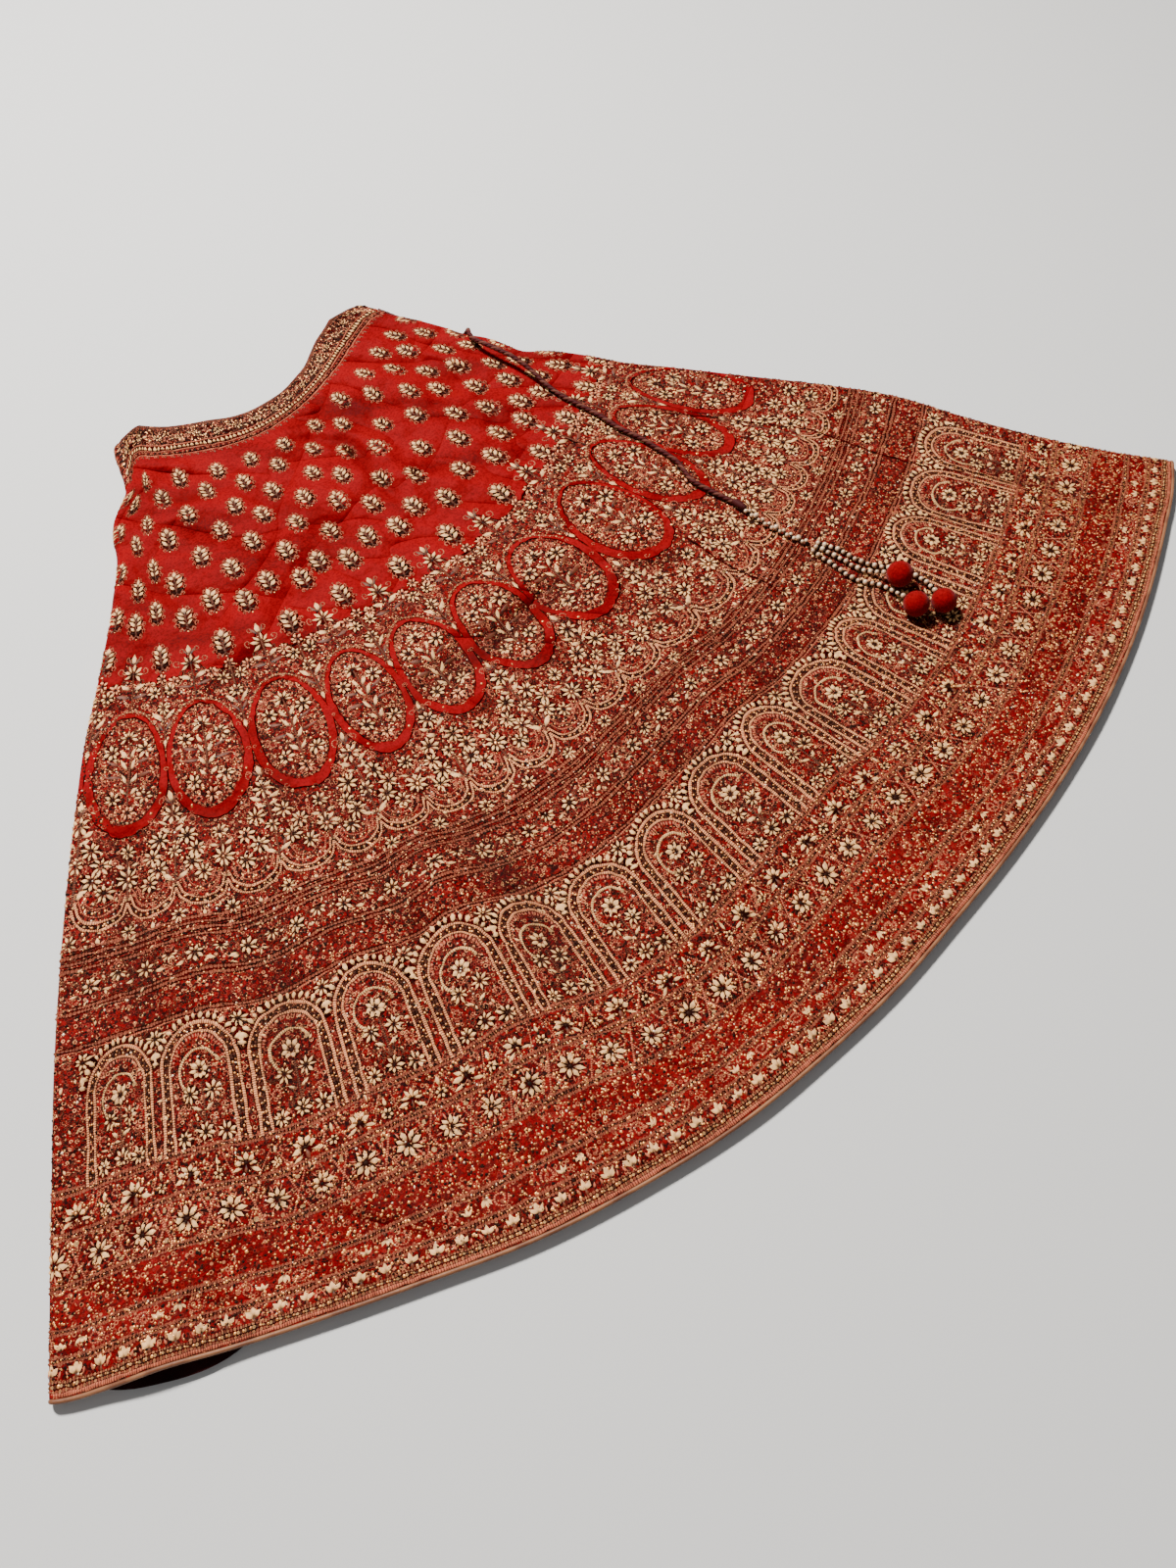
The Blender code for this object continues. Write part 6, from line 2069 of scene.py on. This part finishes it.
@dataclass
class Drawstring:
    """The twisted cord that comes out of the waist, its wrapped end, its bead strands and its pom-poms."""

    cloth: "SkirtCloth"
    cord_diameter: float = 0.0060
    stem_diameter: float = 0.0060
    strand_diameter: float = 0.0046
    cap_diameter: float = 0.0090
    rest_gap: float = 0.0014
    thread_radius: float = 0.0008
    twist_pitch: float = 0.020
    groove_depth: float = 0.34
    cap_rings: int = 61
    cap_wraps: int = 11
    stem_sway: float = 0.0017
    stem_closeness: float = 0.66
    strand_sway: float = 0.0003
    strand_closeness: float = 0.92
    hair_count: int = 1500
    hair_length: float = 0.0007
    hair_half_width: float = 0.00010
    tree: BVHTree = field(init=False)

    def __post_init__(self) -> None:
        """Make the tree that finds the cloth's height."""
        self.tree = self.cloth.skirt.tree()

    def rest_height(self, x: float, y: float, radius: float) -> float:
        """Return the height of the middle of something round that lies on the stitched cloth.

        Args:
            x: The place's x, in the part's frame.
            y: Its y.
            radius: The radius of what lies there.

        Returns:
            The height.
        """
        highest = 0.0
        for distance in (0.0, radius * 0.5, radius * 0.9):
            drop = radius - math.sqrt(radius ** 2 - distance ** 2)
            for turn in range(0, 360, 30):
                above = Vector((x + distance * math.cos(math.radians(turn)),
                                y + distance * math.sin(math.radians(turn)), 1.0))
                hit = self.tree.ray_cast(above, Vector((0.0, 0.0, -1.0)))[0]
                highest = max(highest, hit.z - drop) if hit else highest
        return highest + radius + self.rest_gap

    def rest_point(self, angle: float, radius: float, diameter: float, lift: float = 0.0) -> Vector:
        """Return the middle of something round that lies, or is lifted, over a place given from the apex."""
        x, y = (float(value) for value in plan(angle, radius))
        x, y = x + APEX.x, y + APEX.y
        return Vector((x, y, self.rest_height(x, y, diameter / 2) + lift))

    def over_cloth(self, route: Sequence[Route], diameter: float) -> List[Vector]:
        """Return a route over the front as points."""
        return [self.rest_point(stop.angle, stop.radius, diameter, stop.height) for stop in route]

    @staticmethod
    def over_floor(route: Sequence[Route]) -> List[Vector]:
        """Return a route beside the skirt as points."""
        return [Vector((*plan(stop.angle, stop.radius), stop.height)) + APEX for stop in route]

    def make(self, finishes: Dict[str, Material]) -> None:
        """Make all of it.

        Args:
            finishes: The cord's, the felt's, the pearl's and the dark bead's materials; the bead threads take
                the dark bead's.
        """
        cord = self.over_floor(CORD_BESIDE) + self.over_cloth(CORD_OVER, self.cord_diameter)
        stem = self.over_cloth(STEM_OVER, self.stem_diameter)
        path = smooth_path(cord, 0.0012)
        self._make_cord(path, finishes["cord"])
        along = (stem[0] - cord[-1]).normalized() * 2 * SEAM_GAP
        lift = Vector((0.0, 0.0, (self.cap_diameter - self.cord_diameter) / 2))
        ends = (np.array(cord[-1] + along + lift), np.array(stem[0] - along + lift))
        cap = self._make_cap(*ends, finishes["cord"])
        stem_path = smooth_path(stem, 0.0010)
        stem_piece = self._make_beads("bead_stem", stem_path, STEM_BEADS, self.stem_sway,
                                      self.stem_closeness, finishes)
        for ball in BALLS:
            self._make_tassel(ball, finishes)

    def _make_cord(self, path: Array, finish: Material) -> None:
        """Make the twisted cord along its path."""
        radii = np.full(len(path), self.cord_diameter / 2)
        points, faces, grooves = sweep(path, radii, 20, 3, self.groove_depth, self.twist_pitch)
        self.cord = build_mesh("drawstring_cord", points, faces, marks={"groove": grooves})
        keep(self.cord, [finish], ["drawstring"])

    def _make_cap(self, start: Array, end: Array, finish: Material) -> Object:
        """Make the wrapped barrel on the cord's end."""
        steps = np.linspace(0, 1, self.cap_rings)
        shape = np.interp(steps, [ring.along for ring in CAP_SHAPE], [ring.width for ring in CAP_SHAPE])
        wraps = 1 - 0.05 * np.abs(np.sin(steps * self.cap_wraps * math.pi))
        path = start + (end - start) * steps[:, None]
        sides = 20
        points, faces, _ = sweep(path, shape * wraps * self.cap_diameter / 2, sides)
        first_points = np.arange(self.cap_rings) * sides + 1
        grooves = np.interp(np.arange(len(points)), first_points, (1 - wraps) / 0.06)
        cap = build_mesh("cord_end_wrap", points, faces, marks={"groove": grooves})
        return keep(cap, [finish], ["cord_cap"])

    def _make_beads(self, node: str, path: Array, beads: Sequence[float], sway: float, closeness: float,
                    finishes: Dict[str, Material]) -> Object:
        """Make a thread with beads of the given diameters, repeated along it.

        Args:
            node: The solid that it stands for.
            path: The thread's centreline.
            beads: Diameters of the beads, in order; a negative one is a dark bead.
            sway: How far the beads lie to one side and the other in turn.
            closeness: How much of its own length each pearl takes up along the thread.
            finishes: The materials.

        Returns:
            The strand.
        """
        made = Gathered(f"{node}_beads")
        points, faces, _ = sweep(path, np.full(len(path), self.thread_radius), 6)
        made.add(points, faces, np.ones(len(faces)))
        length = travelled_along(path)[-1]
        ball, ball_faces = globe(12, 8)
        lengths = [abs(size) * (0.5 if size < 0 else closeness) for size in beads]
        count = math.floor(length / sum(lengths) * len(beads))
        sizes = [beads[index % len(beads)] for index in range(count)]
        longs = [lengths[index % len(beads)] for index in range(count)]
        spread = length / sum(longs)
        at, placed = 0.0, 0
        for size, long in zip(sizes, longs):
            at += long * spread / 2
            centre, behind = spaced_along(path, np.array([at, at - MILLIMETRE]))
            form = np.array([abs(size) / 2, abs(size) / 2, abs(size) * (0.25 if size < 0 else 0.46)])
            axes = turned(centre - behind)
            middle = centre + axes[:, 0] * (sway if placed % 2 else -sway)
            made.add((ball * form) @ axes.T + middle, ball_faces, np.full(len(ball_faces), size < 0))
            placed += size > 0
            at += long * spread / 2
        return keep(made.build(), [finishes["pearl"], finishes["dark"]], [node])

    def _make_tassel(self, ball: Ball, finishes: Dict[str, Material]) -> None:
        """Make one strand and the pom-pom on its end."""
        centre = self.rest_point(ball.angle, ball.radius, ball.diameter)
        strand = self.over_cloth(ball.strand, self.strand_diameter)
        strand.append(centre + (strand[-1] - centre).normalized() * (ball.diameter / 2 + SEAM_GAP))
        path = smooth_path(strand, 0.0008)
        node = ball.name.replace("pompom", "bead_strand")
        piece = self._make_beads(node, path, STRAND_BEADS, self.strand_sway, self.strand_closeness, finishes)
        felt = self._make_pompom(ball, np.array(centre), finishes["felt"])

    def _make_pompom(self, ball: Ball, centre: Array, felt: Material) -> Object:
        """Make a matted wool ball with short loose fibres."""
        made = Gathered(f"{ball.name}_wool")
        points, faces = globe(56, 36)
        radius = ball.diameter / 2 - 0.0006
        lumps = np.array([noise.noise(Vector(point * 3.0) + Vector(centre) * 50) for point in points])
        fine = np.array([noise.noise(Vector(point * 11.0) + Vector(centre) * 90) for point in points])
        made.add(centre + points * (radius * (1 + 0.020 * lumps + 0.016 * fine))[:, None], faces,
                 np.zeros(len(faces)))
        random = np.random.default_rng(int(ball.diameter * 1e5))
        outward = unit(random.normal(size=(self.hair_count, 3)))
        lean = random.normal(size=(self.hair_count, 3)) * 0.9
        root = centre + outward * radius * 0.99
        shares = random.uniform(0.5, 1.4, (self.hair_count, 1))
        tip = root + (outward * 0.8 + lean) * self.hair_length * shares
        side = np.cross(outward, lean)
        side *= self.hair_half_width / np.maximum(np.linalg.norm(side, axis=1, keepdims=True), 1e-9)
        hairs = np.stack([root - side, root + side, tip], axis=1).reshape(-1, 3)
        hairs[:, 2] = np.maximum(hairs[:, 2], centre[2] - ball.diameter / 2)
        made.add(hairs, np.arange(len(hairs)).reshape(-1, 3), np.zeros(self.hair_count))
        return keep(made.build(), [felt], [ball.name])


# ---------------- the studio

@dataclass(frozen=True)
class Lamp:
    """A soft rectangular light aimed at a place on the skirt."""

    name: str
    place: Tuple[float, float, float]
    target: Tuple[float, float, float]
    size: float
    watts: float
    colour: Colour = (1.0, 1.0, 1.0)

    def make(self) -> None:
        """Make the light."""
        data = bpy.data.lights.new(self.name, "AREA")
        data.size, data.energy, data.color = self.size, self.watts, self.colour
        light = bpy.data.objects.new(self.name, data)
        light.location = self.place
        light.rotation_euler = (Vector(self.target) - Vector(self.place)).to_track_quat("-Z", "Y").to_euler()
        bpy.context.collection.objects.link(light)


@dataclass(frozen=True)
class Studio:
    """The camera, the lights and the floor."""

    eye: Tuple[float, float, float] = (-0.43222, -0.64763, 1.0269)
    heading: Place = (0.63452, 0.77291)
    pitch: float = 60.106
    roll: float = -2.243
    lens: float = 27.0
    lamps: Tuple[Lamp, ...] = (
        Lamp("key_light", (0.0, 2.0, 3.25), (-0.4, -0.2, 0.0), 0.5, 372.0, (1.0, 0.97, 0.92)),
        Lamp("fill_light", (-2.2, -1.4, 2.0), (0.0, -0.1, 0.0), 2.0, 10.0, (1.0, 0.98, 0.97)),
    )
    sky: float = 0.15

    def make_camera(self) -> Object:
        """Make the camera and give it to the scene."""
        data = bpy.data.cameras.new("camera")
        data.lens, data.sensor_width, data.sensor_fit = self.lens, 36.0, "AUTO"
        data.clip_start, data.clip_end = 0.05, 20.0
        camera = bpy.data.objects.new("camera", data)
        across = Vector((self.heading[1], -self.heading[0], 0.0))
        ahead = Vector((*self.heading, 0.0))
        tilt, lean = math.radians(self.pitch), math.radians(self.roll)
        up = ahead * math.sin(tilt) + Vector((0, 0, math.cos(tilt)))
        back = -ahead * math.cos(tilt) + Vector((0, 0, math.sin(tilt)))
        axes = (across * math.cos(lean) + up * math.sin(lean),
                up * math.cos(lean) - across * math.sin(lean), back)
        turn = Matrix([[axis[row] for axis in axes] for row in range(3)])
        camera.matrix_world = Matrix.Translation(Vector(self.eye)) @ turn.to_4x4()
        bpy.context.collection.objects.link(camera)
        bpy.context.scene.camera = camera
        return camera

    def make_surroundings(self) -> None:
        """Make the floor, the sky and the lights."""
        plane = np.array([[-6, -6, 0], [6, -6, 0], [6, 6, 0], [-6, 6, 0]], float)
        floor = build_mesh("floor", plane - np.array([0, 0, 0.0003]), np.array([[0, 1, 2, 3]]))
        floor.data.materials.append(FloorFinish().make())
        world = bpy.data.worlds.new("sky")
        world.use_nodes = True
        background = world.node_tree.nodes["Background"]
        background.inputs["Color"].default_value = (1.0, 1.0, 1.0, 1.0)
        background.inputs["Strength"].default_value = self.sky
        bpy.context.scene.world = world
        for lamp in self.lamps:
            lamp.make()


def main() -> None:
    """Build the scene."""
    logging.basicConfig(level=logging.INFO, format="%(message)s")
    studio = Studio()
    studio.make_camera()
    form = SkirtForm()
    cloth = SkirtCloth(form)
    threads = thread_finishes()
    finishes = {"cord": CordFinish().make(), "felt": FeltFinish().make(), "pearl": threads[PEARL.value],
                "dark": threads[DARK.value]}
    Drawstring(cloth).make(finishes)
    silk = EmbroideredSilk().make()
    cloth.make_gores(silk)
    cloth.make_waistband(silk)
    cloth.make_piping(PipingFinish().make())
    cloth.make_lining(LiningFinish().make())
    WaistTrim(threads).make(cloth.band, cloth.skirt)
    for border in (ButiField(threads), OvalBorder(threads), ScallopBorder(threads), ArchBorder(threads),
                   HemBorder(threads), FilledGround(threads), TuckLines(threads)):
        border.make(cloth.skirt)
    studio.make_surroundings()


if __name__ == "__main__":
    main()
